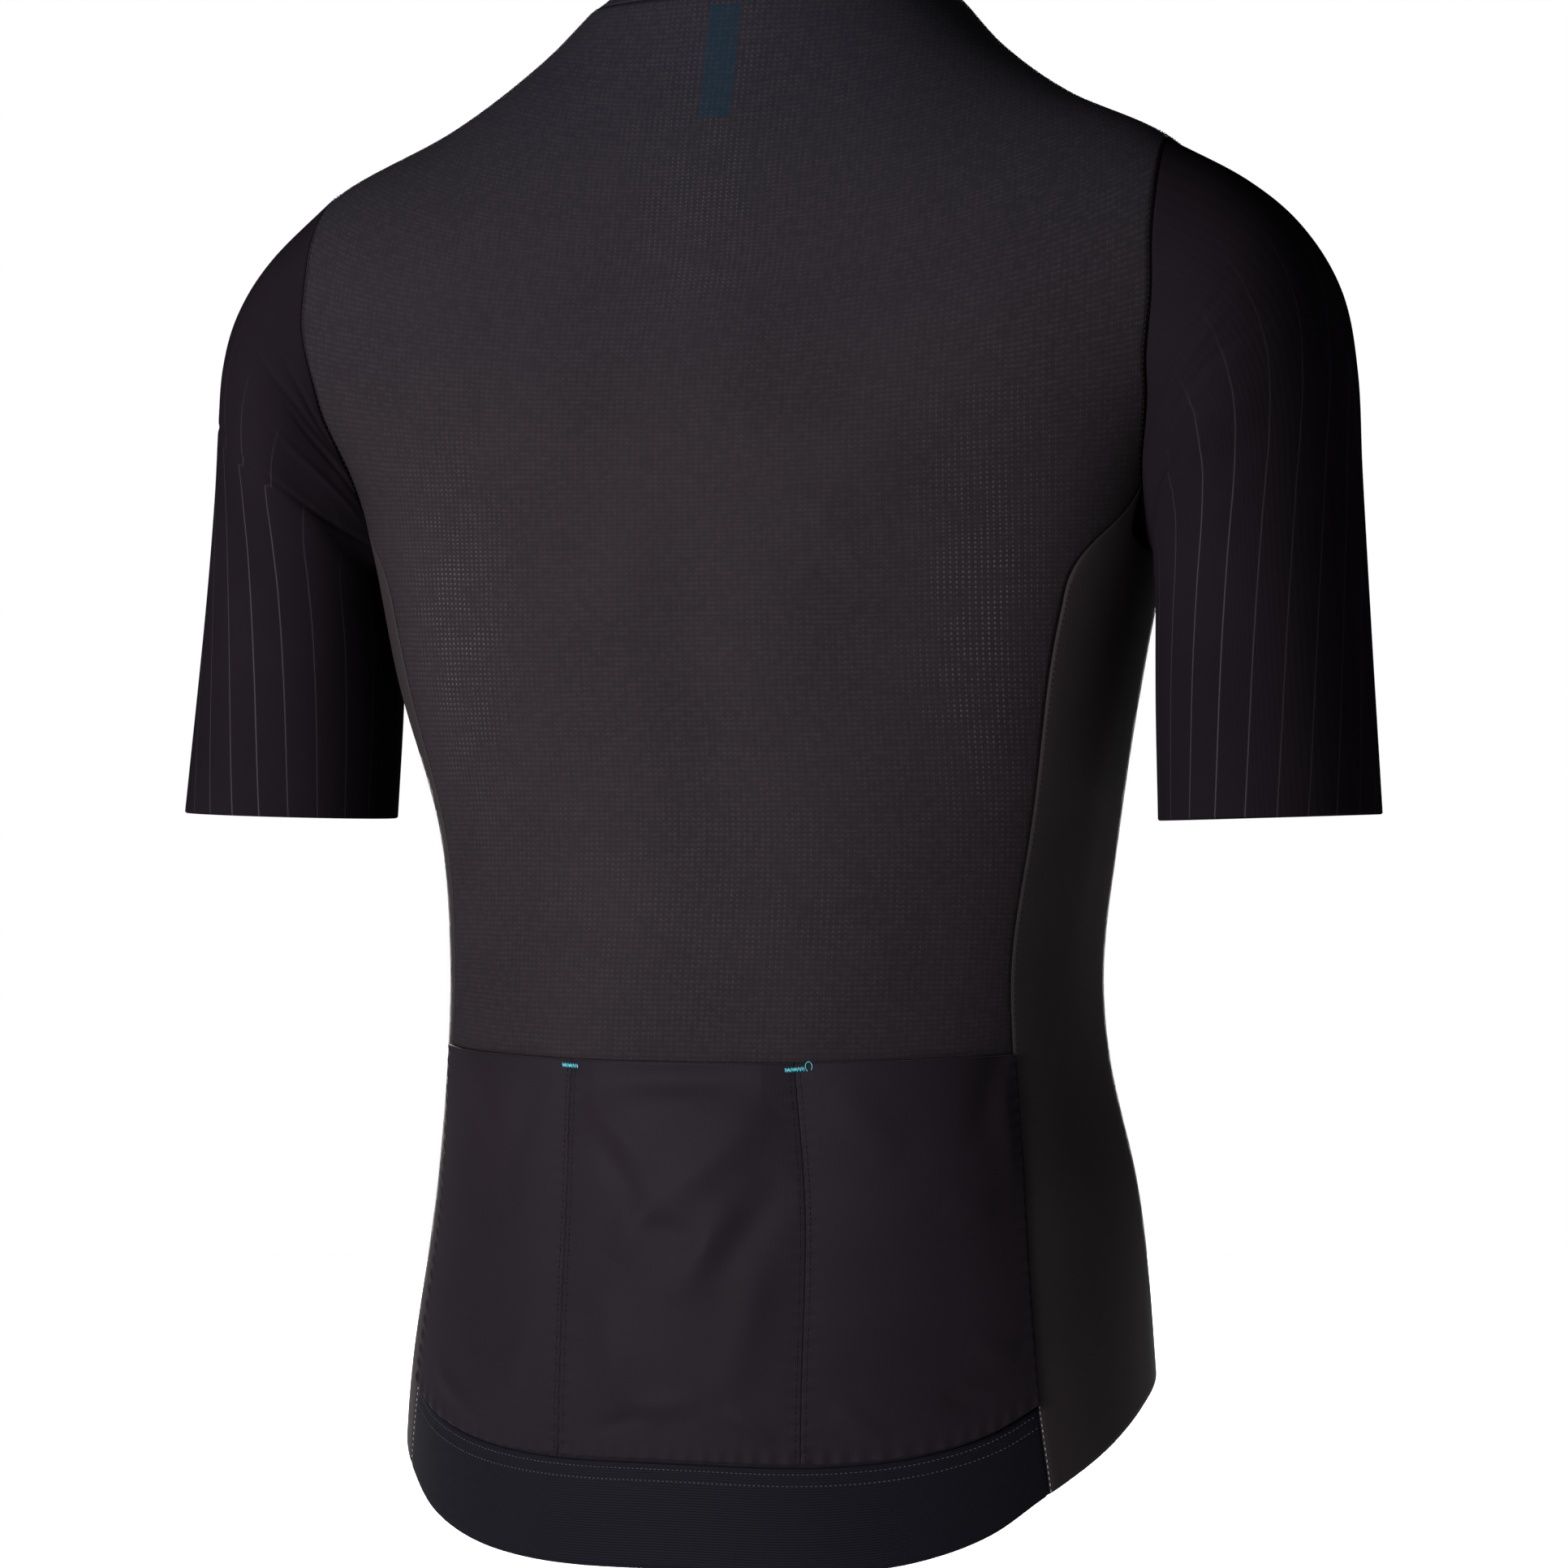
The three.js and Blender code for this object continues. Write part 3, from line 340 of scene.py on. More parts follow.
def armhole_level(step):
    """A cosine from the shoulder down to the underarm."""
    return ARMHOLE_BOTTOM + (ARMHOLE_TOP - ARMHOLE_BOTTOM) * (1 + np.cos(np.radians(step))) / 2


def armhole_angle(step):
    step = np.where(np.asarray(step) > 180, np.asarray(step) - 360, step)
    back, front = read(ARMHOLE, np.abs(step))
    return np.where(step >= 0, back, front)


def upper_seam(name, step, level):
    """The seam above the underarm line, which runs on to the armhole's own angle."""
    share = np.clip((level - UNDERARM_LEVEL) / (armhole_level(step) - UNDERARM_LEVEL), 0, 1) ** 2
    return seam(name, level) * (1 - share) + armhole_angle(step) * share


def fan(start, end, level, columns):
    """Rows of places from a start angle to an end angle. The level is a number a row or a function."""
    share = np.linspace(0, 1, columns)[None, :]
    angle = start[:, None] + (end - start)[:, None] * share
    return np.stack(paired(angle, level(angle) if callable(level) else level[:, None]), -1)


def zip_edge(level, x=ZIP_HALF_GAP):
    """Degrees from centre front to a place this far to the side."""
    _, _, middle, _, front, _, _, _, _ = read(BODY_RINGS, level)
    return np.degrees(np.arcsin(x / (middle - front)))


def skirt_shares(rows, band_rows=0):
    band = np.linspace(0, BAND_SHARE, band_rows)[:-1]
    return np.concatenate([band, np.linspace(BAND_SHARE, 1, rows)])


def skirt_fan(shares, start, end, columns):
    return fan(start, end, lambda angle: skirt_level(angle, shares[:, None]), columns)


def upper_edges(name, under_rows, armhole_rows):
    """Levels and angles up a panel's side above the waist: the side seam to the underarm line and to the
    armhole, the armhole's edge, and the shoulder seam."""
    seam_step = BACK_SEAM_STEP if name == "back" else FRONT_SEAM_STEP
    chest = np.linspace(WAIST_LEVEL, UNDERARM_LEVEL, 52)[1:]
    under = np.linspace(UNDERARM_LEVEL, armhole_level(seam_step), under_rows)[1:]
    steps = np.linspace(seam_step, 0, armhole_rows)[1:]
    shoulder = np.linspace(ARMHOLE_TOP, NECK_LEVEL, 44)[1:]
    return [
        (chest, seam(name, chest)),
        (under, upper_seam(name, seam_step, under)),
        (armhole_level(steps), armhole_angle(steps)),
        (shoulder, -read(SHOULDER_SEAM, shoulder)[0]),
    ]


def back_places(columns=201):
    """From the hem band's top edge to the neck, and over the shoulders to the shoulder seams."""
    shares = skirt_shares(60)
    edge = skirt_seam("back", shares)
    parts = [skirt_fan(shares, edge, 180 - edge, columns)]
    for level, edge in upper_edges("back", 18, 52):
        parts.append(fan(edge, 180 - edge, level, columns))
    return np.concatenate(parts)


def band_places(columns=201):
    """The hem band across the back, between the side seams."""
    shares = np.linspace(0, BAND_SHARE, 22)
    edge = skirt_seam("back", shares)
    return skirt_fan(shares, edge, 180 - edge, columns)


def side_places(columns=49):
    """The left side panel, from the front seam to the back seam and up to the armhole."""
    shares = skirt_shares(60, 16)
    parts = [skirt_fan(shares, skirt_seam("front", shares), skirt_seam("back", shares), columns)]
    chest = np.linspace(WAIST_LEVEL, UNDERARM_LEVEL, 52)[1:]
    parts.append(fan(seam("front", chest), seam("back", chest), chest, columns))
    steps = np.linspace(360 + FRONT_SEAM_STEP, BACK_SEAM_STEP, columns)[None, :]
    rise = np.linspace(0, 1, 18)[1:, None]
    level = UNDERARM_LEVEL + rise * (armhole_level(steps) - UNDERARM_LEVEL)
    start = upper_seam("front", FRONT_SEAM_STEP, level)
    end = upper_seam("back", BACK_SEAM_STEP, level)
    share = np.linspace(0, 1, columns)[None, :]
    even = start + (end - start) * share
    edge = armhole_angle(steps)
    angle = even + (edge - edge[:, :1] - (edge[:, -1:] - edge[:, :1]) * share) * rise**2
    parts.append(np.stack([angle, level], -1))
    return np.concatenate(parts)


def front_places(columns=71):
    """The left front, from the zip to the side, armhole and shoulder seams."""
    shares = skirt_shares(60, 16)
    start = -90 + zip_edge(skirt_level(-90, shares))
    parts = [skirt_fan(shares, start, skirt_seam("front", shares), columns)]
    for level, edge in upper_edges("front", 14, 60):
        parts.append(fan(-90 + zip_edge(level), edge, level, columns))
    return np.concatenate(parts)


def mirrored(places):
    """The same places on the wearer's right, in the order that keeps the outside facing out."""
    return np.stack([180 - places[:, ::-1, 0], places[:, ::-1, 1]], -1)


# Meshes


def lengths(points, axis):
    """Distance run along an axis of a grid of points, starting at 0."""
    steps = np.linalg.norm(np.diff(points, axis=axis), axis=-1)
    start = np.zeros_like(np.take(steps, [0], axis=axis))
    return np.concatenate([start, np.cumsum(steps, axis=axis)], axis)


def cloth_uv(points):
    """UVs in metres of cloth: along each row from its middle, and up by the rows' mean distance."""
    across = lengths(points, 1)
    middle = across[:, -1:] / 2
    up = lengths(points, 0).mean(axis=1, keepdims=True)
    return np.stack([across - middle, np.broadcast_to(up, across.shape)], -1) * MM


def quads(numbers):
    cells = [numbers[:-1, :-1], numbers[:-1, 1:], numbers[1:, 1:], numbers[1:, :-1]]
    return np.stack(cells, -1).reshape(-1, 4)


def make_object(name, points, faces, uv=None, uv_faces=None, attributes=None, smooth=None):
    """An object from points in mm and faces, with UVs by corner and values by point. All faces are
    shaded smooth, or those that are marked so."""
    faces = faces.tolist() if isinstance(faces, np.ndarray) else faces
    mesh = bpy.data.meshes.new(name)
    mesh.from_pydata((np.asarray(points) * MM).tolist(), [], faces)
    if uv is not None:
        layer = mesh.uv_layers.new(name="UVMap")
        layer.data.foreach_set("uv", uv[np.asarray(uv_faces).ravel()].astype(np.float32).ravel())
    for key, values in (attributes or {}).items():
        attribute = mesh.attributes.new(key, "FLOAT", "POINT")
        attribute.data.foreach_set("value", np.asarray(values, np.float32).ravel())
    smooth = np.ones(len(mesh.polygons), bool) if smooth is None else smooth
    mesh.polygons.foreach_set("use_smooth", smooth)
    mesh.update()
    piece = bpy.data.objects.new(name, mesh)
    bpy.context.scene.collection.objects.link(piece)
    return piece


def wall(name, outer, normals, thick, uv, rolls, around=False, marks=None):
    """Cloth with a thickness: an outer grid, an inner one that far behind it, and a rolled edge. The
    edge's middle stands out by the roll of its side: bottom, right, top and left. A side without a roll
    is shaded flat. On a round wall the last column lies on the first."""
    rows, columns = outer.shape[:2]
    width = columns - 1 if around else columns
    layer = rows * width
    numbers = np.arange(layer).reshape(rows, width)
    if around:
        numbers = np.concatenate([numbers, numbers[:, :1]], 1)
    uv_numbers = np.arange(rows * columns).reshape(rows, columns)
    outside = outer[:, :width].reshape(-1, 3)
    directions = normals[:, :width].reshape(-1, 3)
    inside = outside - directions * thick
    points = [outside, inside]
    faces = [quads(numbers), quads(numbers)[:, ::-1] + layer]
    uv_faces = [quads(uv_numbers), quads(uv_numbers)[:, ::-1]]
    smooth = [np.ones(len(faces[0]) * 2, bool)]
    bottom, right, top, left = rolls
    if around:
        loops = [(numbers[0], uv_numbers[0], bottom), (numbers[-1, ::-1], uv_numbers[-1, ::-1], top)]
    else:
        edge = lambda grid: np.concatenate([grid[0, :-1], grid[:-1, -1], grid[-1, :0:-1], grid[::-1, 0]])
        roll = np.repeat([bottom, right, top, left], [columns - 1, rows - 1, columns - 1, rows])
        loops = [(edge(numbers), edge(uv_numbers), roll)]
    count = 2 * layer
    for loop, uv_loop, roll in loops:
        ring = loop[:-1]
        ahead, behind = outside[np.roll(ring, -1)], outside[np.roll(ring, 1)]
        out = unit(np.cross(ahead - behind, directions[ring]))
        reach = np.broadcast_to(np.asarray(roll, float), loop.shape)[:-1, None]
        points.append((outside[ring] + inside[ring]) / 2 + out * reach)
        middle = count + np.arange(len(ring))
        middle = np.append(middle, middle[0])
        count += len(ring)
        for near, far in ((loop, middle), (middle, loop + layer)):
            faces.append(np.stack([near[:-1], far[:-1], far[1:], near[1:]], -1))
            uv_faces.append(np.stack([uv_loop[:-1], uv_loop[:-1], uv_loop[1:], uv_loop[1:]], -1))
            smooth.append(reach[:, 0] > 0)
    attributes = {}
    for key, values in (marks or {}).items():
        flat = values[:, :width].reshape(-1)
        rims = [flat[loop[:-1]] for loop, _, _ in loops]
        attributes[key] = np.concatenate([flat, flat, *rims])
    points, faces, uv_faces, smooth = (np.concatenate(part) for part in (points, faces, uv_faces, smooth))
    return make_object(name, points, faces, uv.reshape(-1, 2), uv_faces, attributes, smooth)


def edge_distance(points, sides):
    """Distance in mm from each point of a grid to the nearest of the named sides, along the cloth."""
    across, up = lengths(points, 1), lengths(points, 0)
    choices = {
        "left": across,
        "right": across[:, -1:] - across,
        "bottom": up,
        "top": up[-1:] - up,
    }
    return np.min([choices[side] for side in sides], axis=0)


def groove(distance):
    """The dip of cloth into a seam: a bell curve of the distance from it."""
    return -GROOVE_DEPTH * np.exp(-((distance / GROOVE_HALF) ** 2))


# Creases of the body: across from the side and up, in mm, where each starts and ends, half width, height
BODY_CREASES = [
    [238, -150, 240, -430, 28, -1.8],
    [150, -150, 190, -300, 34, 1.5],
    [330, -160, 290, -320, 34, 1.3],
    [120, -235, 178, -205, 9, 0.9],
    [122, -255, 185, -238, 8, -0.8],
    [96, -262, 150, -310, 9, 0.7],
    [352, -235, 296, -208, 9, 0.9],
    [350, -256, 290, -240, 8, -0.8],
    [110, -420, 250, -440, 7, 0.6],
    [150, -405, 330, -432, 9, -0.5],
    [368, -415, 300, -446, 7, 0.6],
    [-180, -200, -120, -150, 14, 1.2],
    [-292, -200, -350, -150, 14, 1.2],
    [-150, -560, -60, -500, 10, 0.9],
    [-320, -560, -410, -500, 10, 0.9],
    [-200, -430, -90, -460, 9, 0.8],
    [-272, -430, -380, -460, 9, 0.8],
    [10, -300, 20, -430, 10, 0.8],
    [-20, -330, -30, -470, 10, -0.8],
    [455, -310, 448, -440, 10, 0.8],
]


def body_lift(angle, level):
    """How far the cloth stands off the plain body: slow waves and the listed creases."""
    across = np.radians(angle) * BODY_ROUND
    slow = 0.35 * wave(across, level, 20, 190, 0.6) + 0.25 * wave(across, level, 100, 150, 2.1)
    return slow + creases(BODY_CREASES, across, level)


def armhole_rise(angle, level):
    """How far the cloth beside an armhole moves back, or forward at the front, so that it runs level
    into the sleeve: it fades by a power of e with the distance from the armhole, and to nothing at the
    shoulder and the underarm."""
    angle, level = paired(angle, level)
    aside = np.abs((angle + 90) % 180 - 90)
    height = np.clip((level - ARMHOLE_BOTTOM) / (ARMHOLE_TOP - ARMHOLE_BOTTOM), 0, 1)
    step = np.degrees(np.arccos(2 * height - 1))
    back, front = read(ARMHOLE, step)
    behind = np.sin(np.radians(angle)) > 0
    away = np.clip(aside - np.where(behind, back, -front), 0, None) * SIDE_MM
    rise = ARMHOLE_RISE * np.sin(np.radians(step)) * np.exp(-away / ARMHOLE_REACH)
    return np.stack([0 * rise, np.where(behind, rise, -rise), 0 * rise], -1)


def body_base(angle, level):
    """The plain body with its rise beside the armholes."""
    return body(angle, level) + armhole_rise(angle, level)


def body_face(angle, level):
    """The outside of the body's cloth."""
    return body_base(angle, level) + body_normal(angle, level) * body_lift(angle, level)[..., None]


def sleeve_oval(step, share, side):
    """An oval between the outer and inner points, with its own depth to the back and front."""
    outer_x, outer_z, inner_x, inner_z, middle, back, front, inset, down = read(SLEEVE_RINGS, share)
    if side > 0:
        outer_x, outer_z = outer_x - inset, outer_z - down
    c, s = np.cos(np.radians(step)), np.sin(np.radians(step))
    depth = np.where(s > 0, back, front)
    x = (outer_x + inner_x) / 2 + (outer_x - inner_x) / 2 * c
    z = (outer_z + inner_z) / 2 + (outer_z - inner_z) / 2 * c
    return np.stack([x, middle + depth * s, z], -1)


def armhole_edge(step, side):
    """The body's edge at an armhole and its direction, carried to the wearer's left."""
    angle = armhole_angle(step) if side > 0 else 180 - armhole_angle(step)
    carry = np.array([side, 1, 1])
    return body_base(angle, armhole_level(step)) * carry, body_normal(angle, armhole_level(step)) * carry


def sleeve_smooth(step, share, side):
    """The oval, blended into the armhole's edge by a power of the distance left to the blend's end."""
    step, share = paired(step, share)
    fade = (1 - np.clip(share / SLEEVE_BLEND, 0, 1)) ** SLEEVE_BLEND_POWER
    away = armhole_edge(step, side)[0] - sleeve_oval(step, np.zeros(step.shape), side)
    return sleeve_oval(step, share, side) + away * fade[..., None]


def sleeve_normal(step, share, side):
    surface = lambda u, v: sleeve_smooth(u, v, side)
    return -normal_of(surface, step, np.clip(share, 0.01, 0.99), 1, 0.01)


def fold_step(step):
    return (np.asarray(step) + 180) % 360 - 180


def sleeve_creases(side, step, share):
    """The sleeve's creases, with steps and shares turned to mm. Each is taken round the nearer way."""
    height = np.zeros(np.shape(step))
    table = SLEEVE_CREASES_LEFT if side > 0 else SLEEVE_CREASES_RIGHT
    for step0, share0, step1, share1, half, tall in table:
        centre = (step0 + step1) / 2
        across = np.radians(fold_step(step - centre)) * SLEEVE_ROUND
        reach = math.radians(step1 - step0) / 2 * SLEEVE_ROUND
        row = [-reach, share0 * SLEEVE_LENGTH, reach, share1 * SLEEVE_LENGTH, half, tall]
        height += creases([row], across, share * SLEEVE_LENGTH)
    return height


def sleeve_face(step, share, side):
    """The sleeve's outside on the wearer's left, with its creases."""
    step = fold_step(step)
    lift = sleeve_creases(side, step, share)
    return sleeve_smooth(step, share, side) + sleeve_normal(step, share, side) * lift[..., None]


# Materials


class Value:
    """An output of a node, with arithmetic that adds a Math node an operation."""

    def __init__(self, tree, socket):
        self.tree = tree
        self.socket = socket

    def maths(self, operation, *others):
        return node(self.tree, "ShaderNodeMath", dict(enumerate((self, *others))), operation=operation)

    def __add__(self, other):
        return self.maths("ADD", other)

    def __sub__(self, other):
        return self.maths("SUBTRACT", other)

    def __mul__(self, other):
        return self.maths("MULTIPLY", other)

    def __truediv__(self, other):
        return self.maths("DIVIDE", other)

    def ramp(self, low, high, start=0.0, end=1.0):
        """Runs from start to end as the value runs from low to high, and never past them."""
        return node(self.tree, "ShaderNodeMapRange", {0: self, 1: low, 2: high, 3: start, 4: end})


def node(tree, kind, inputs=(), output=0, **settings):
    """An output of a new node with its settings and inputs. An input is a Value to link or plain."""
    made = tree.nodes.new(kind)
    for key, value in settings.items():
        setattr(made, key, value)
    for key, value in dict(inputs).items():
        if isinstance(value, Value):
            tree.links.new(value.socket, made.inputs[key])
        else:
            made.inputs[key].default_value = value
    return Value(tree, made.outputs[output])


def new_material(name):
    material = bpy.data.materials.new(name)
    material.use_nodes = True
    tree = material.node_tree
    return material, tree, tree.nodes["Principled BSDF"]


def blend(share, *colours):
    """A mix of two colours, each a Value or plain red, green and blue."""
    first, second = (c if isinstance(c, Value) else (*c, 1) for c in colours)
    return node(share.tree, "ShaderNodeMix", {0: share, 6: first, 7: second}, 2, data_type="RGBA")


def place_parts(tree, source, count):
    return [node(tree, "ShaderNodeSeparateXYZ", {0: source}, k) for k in range(count)]


def uv_parts(tree, layer="UVMap"):
    """The two directions of a UV map in mm of cloth."""
    return [part * 1000 for part in place_parts(tree, node(tree, "ShaderNodeUVMap", uv_map=layer), 2)]


def ripple(distance, pitch):
    """A sine of the distance, from 0 to 1."""
    return (distance * (2 * math.pi / pitch)).maths("SINE") * 0.5 + 0.5


def noise(tree, size_mm, detail=3.0):
    where = node(tree, "ShaderNodeTexCoord", output="Object")
    return node(tree, "ShaderNodeTexNoise", {"Vector": where, "Scale": 1000 / size_mm, "Detail": detail})


def attribute(tree, name):
    return node(tree, "ShaderNodeAttribute", output="Fac", attribute_name=name)


def mottle(tree, colour, size_mm, amount):
    """The colour made lighter and darker by slow noise."""
    dark, light = ([c * (1 + change) for c in colour] for change in (-amount, amount))
    return blend(noise(tree, size_mm), dark, light)


def finish(shader, tone, rough, specular, relief, depth):
    """Gives a cloth its colour, roughness and specular level, and a relief of some depth in mm."""
    tree = tone.tree
    shader.inputs["Specular IOR Level"].default_value = specular
    normal = node(tree, "ShaderNodeBump", {"Height": relief, "Distance": depth * MM, "Strength": 1.0})
    for key, value in (("Base Color", tone), ("Roughness", rough), ("Normal", normal)):
        if isinstance(value, Value):
            tree.links.new(value.socket, shader.inputs[key])
        else:
            shader.inputs[key].default_value = value


def rib_mesh(name, label=None):
    """Ribbed mesh: ribs across the cloth, fine wales up it, and an eyelet in each cell of a square grid,
    painted pale as light showing through it.
    Slow and fine noise and the stretch attribute open the eyelets. Towards the neck the cloth is painted
    darker and bluer, a painted shade where the upper back faces up, away from the low light. The label
    behind the cloth shows as a tint."""
    material, tree, shader = new_material(name)
    across, up = uv_parts(tree)
    up = up + noise(tree, 26) * 1.6 - 0.8
    ribs = ripple(up, RIB_PITCH) * noise(tree, 3.2, 2.0).ramp(0.38, 0.62)
    squares = []
    for distance, pitch in ((across, EYELET_PITCH), (up, RIB_PITCH)):
        squares.append((((distance / pitch).maths("FRACT") - 0.5) * pitch).maths("POWER", 2))
    hole = (squares[0] + squares[1]).maths("SQRT").ramp(0.2, 0.62, 1.0, 0.0)
    patchy = noise(tree, 9, 4.0).ramp(0.35, 0.65, 0.25, 1.2)
    eyelet_open_and_light = hole * (attribute(tree, "stretch") + EYELET_LEAST) * patchy
    height = place_parts(tree, node(tree, "ShaderNodeTexCoord", output="Object"), 3)[2]
    cloth = mottle(tree, (0.0064, 0.0051, 0.006), 60, 0.26)
    # Painted shade: darker and bluer with height towards the neck, where the upper back faces up, away from
    # the low light.
    cloth = blend(height.ramp(-0.2, -0.03, 0.0, 0.75), cloth, (0.005, 0.0049, 0.0069))
    tone = blend(ribs * 0.6, cloth, (0.0098, 0.0079, 0.0094))
    # Painted light: open eyelets are painted pale, standing for light that shows through the holes.
    tone = blend(eyelet_open_and_light, tone, (0.034, 0.03, 0.033))
    if label:
        bottom, top = label
        inside = across.maths("ABSOLUTE").maths("LESS_THAN", LABEL_HALF)
        inside = inside * up.maths("GREATER_THAN", bottom) * up.maths("LESS_THAN", top)
        tone = blend(inside * (ribs * -0.3 + 0.6), tone, (0.0012, 0.0068, 0.0115))
    wales = ripple(across, EYELET_PITCH / 2)
    finish(shader, tone, 0.65, 0.006, ribs + wales * 0.35 - eyelet_open_and_light, 0.045)
    return material


def smooth_knit(name, colour, stripes=False):
    """Fine smooth knit: wales up the cloth, slight noise, and thin pale stripes on the sleeves."""
    material, tree, shader = new_material(name)
    across, up = uv_parts(tree)
    wales = ripple(across, 0.9)
    relief = ripple(up, 0.7) * 0.4 + wales + noise(tree, 1.4, 2.0) * 1.2
    tone = blend(wales * 0.12, mottle(tree, colour, 45, 0.24), [c * 1.8 for c in colour])
    if stripes:
        place = uv_parts(tree, "Stripes")[0]
        line = (place.maths("FRACT") - 0.5).maths("ABSOLUTE").ramp(0.012, 0.027, 1.0, 0.0)
        tone = blend(line * attribute(tree, "stripe"), tone, (0.026, 0.024, 0.027))
    finish(shader, tone, 0.55, 0.0 if stripes else 0.015, relief, 0.035)
    return material


def elastic(name):
    """Elastic band: tight ribs across it on a navy-black ground."""
    material, tree, shader = new_material(name)
    across, up = uv_parts(tree)
    ribs = ripple(up, 1.1)
    tone = blend(ribs, mottle(tree, (0.0015, 0.0014, 0.0024), 30, 0.2), (0.0025, 0.0024, 0.004))
    finish(shader, tone, 0.6, 0.02, ribs + ripple(across, 0.8) * 0.3, 0.12)
    return material


def thread(name, colour, roughness=0.55):
    """Sewing thread: a twist along it from fine noise."""
    material, tree, shader = new_material(name)
    finish(shader, mottle(tree, colour, 0.8, 0.3), roughness, 0.06, noise(tree, 0.5, 1.0), 0.05)
    return material


def label_cloth(name):
    """Woven ribbon: a fine plain weave on blue."""
    material, tree, shader = new_material(name)
    across, up = uv_parts(tree)
    weave = ripple(across, 0.6) * ripple(up, 0.6)
    finish(shader, blend(weave, (0.02, 0.075, 0.14), (0.035, 0.12, 0.21)), 0.5, 0.15, weave, 0.05)
    return material


def zip_tape(name):
    """Woven tape: a herringbone of two slanted ripples."""
    material, tree, shader = new_material(name)
    across, up = uv_parts(tree)
    weave = ripple(up + across.maths("ABSOLUTE"), 0.9)
    finish(shader, blend(weave, (0.006, 0.006, 0.007), (0.012, 0.012, 0.013)), 0.7, 0.1, weave, 0.08)
    return material


def metal(name, colour, roughness):
    """Painted metal, worn lighter in patches by noise."""
    material, tree, shader = new_material(name)
    wear = noise(tree, 3, 4.0)
    rough = wear.ramp(0.0, 1.0, roughness * 0.8, roughness * 1.3)
    shader.inputs["Metallic"].default_value = 0.8
    tone = blend(wear, colour, [c * 1.6 for c in colour])
    finish(shader, tone, rough, 0.5, noise(tree, 0.8, 2.0), 0.02)
    return material


# Dressing: each piece rides on the jersey and stands for its node


def dress(piece, material, nodes=()):
    piece.data.materials.append(material)
    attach(piece, "jersey")
    if nodes:
        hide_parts(*nodes)
    return piece


def declare(points):
    """Takes the two sides from two opposite corners of each cell of a grid of points, and returns nothing."""
    a, b = points[1:, :-1] - points[:-1, :-1], points[:-1, 1:] - points[:-1, :-1]
    c, d = points[1:, :-1] - points[1:, 1:], points[:-1, 1:] - points[1:, 1:]


def along(points, normals, places):
    """Points and directions at distances run along a line."""
    run = lengths(points[:, None], 0)[:, 0]
    at = np.stack([np.interp(places, run, points[:, k]) for k in range(3)], -1)
    return at, unit(np.stack([np.interp(places, run, normals[:, k]) for k in range(3)], -1))


def stitches(name, lines, pitch, length, width, material):
    """A spindle of thread a stitch, lying on the cloth: two rings of four points between its ends."""
    starts, ends, outs = [], [], []
    for points, normals in lines:
        total = lengths(points[:, None], 0)[-1, 0]
        places = np.arange(0.3, max(total - length, 0.31), pitch)
        start, out = along(points, normals, places)
        starts.append(start)
        outs.append(out)
        ends.append(along(points, normals, places + length)[0])
    start, end, out = np.concatenate(starts), np.concatenate(ends), np.concatenate(outs)
    side = unit(np.cross(end - start, out))
    rings = [start + out * 0.02]
    for share in (0.25, 0.75):
        middle = start + (end - start) * share + out * width * 0.35
        for across, high in ((1, 0), (0, 0.9), (-1, 0), (0, -0.9)):
            rings.append(middle + side * across * width / 2 + out * high * width / 2)
    rings.append(end + out * 0.02)
    points = np.stack(rings, 1)
    rounds = [(k, (k + 1) % 4) for k in range(4)]
    tips = [[0, 1 + b, 1 + a] for a, b in rounds] + [[9, 5 + a, 5 + b] for a, b in rounds]
    sides = [[1 + a, 1 + b, 5 + b, 5 + a] for a, b in rounds]
    shift = (np.arange(len(start)) * 10)[:, None, None]
    ends = (np.array(tips)[None] + shift).reshape(-1, 3).tolist()
    sides = (np.array(sides)[None] + shift).reshape(-1, 4).tolist()
    piece = make_object(name, points.reshape(-1, 3), ends + sides)
    return dress(piece, material)


def moved_aside(points, normals, aside):
    """A line moved sideways along the cloth by a distance, to the right of its run."""
    return points + unit(np.cross(np.gradient(points, axis=0), normals)) * aside, normals


def seam_line(angle, level, aside=0.0):
    return moved_aside(body_face(angle, level), body_normal(angle, level), aside)


def ribbon(name, points, normals, material):
    """A seam allowance: a flat strip along a line, inside the cloth."""
    asides = np.linspace(-ALLOWANCE_HALF, ALLOWANCE_HALF, 5)
    grid = np.stack([moved_aside(points, normals, aside)[0] for aside in asides], 1)
    grid = grid - normals[:, None] * (BAND_WALL + ALLOWANCE_GAP)
    directions = np.broadcast_to(normals[:, None], grid.shape)
    round_edge = ALLOWANCE_THICK / 2
    piece = wall(name, grid, directions, ALLOWANCE_THICK, cloth_uv(grid), [0, round_edge, 0, round_edge])
    return dress(piece, material)


def side_line(name, low, high, count=300):
    """Angles and levels up one of the left side panel's seams, from the hem to the armhole."""
    step = BACK_SEAM_STEP if name == "back" else FRONT_SEAM_STEP
    shares = np.linspace(0, 1, count)
    angle = skirt_seam(name, shares)
    levels = skirt_level(angle, shares)
    upper = np.linspace(WAIST_LEVEL, armhole_level(step), count)[1:]
    angle = np.concatenate([angle, upper_seam(name, step, upper)])
    levels = np.concatenate([levels, upper])
    kept = (levels >= low) & (levels <= high)
    return angle[kept], levels[kept]


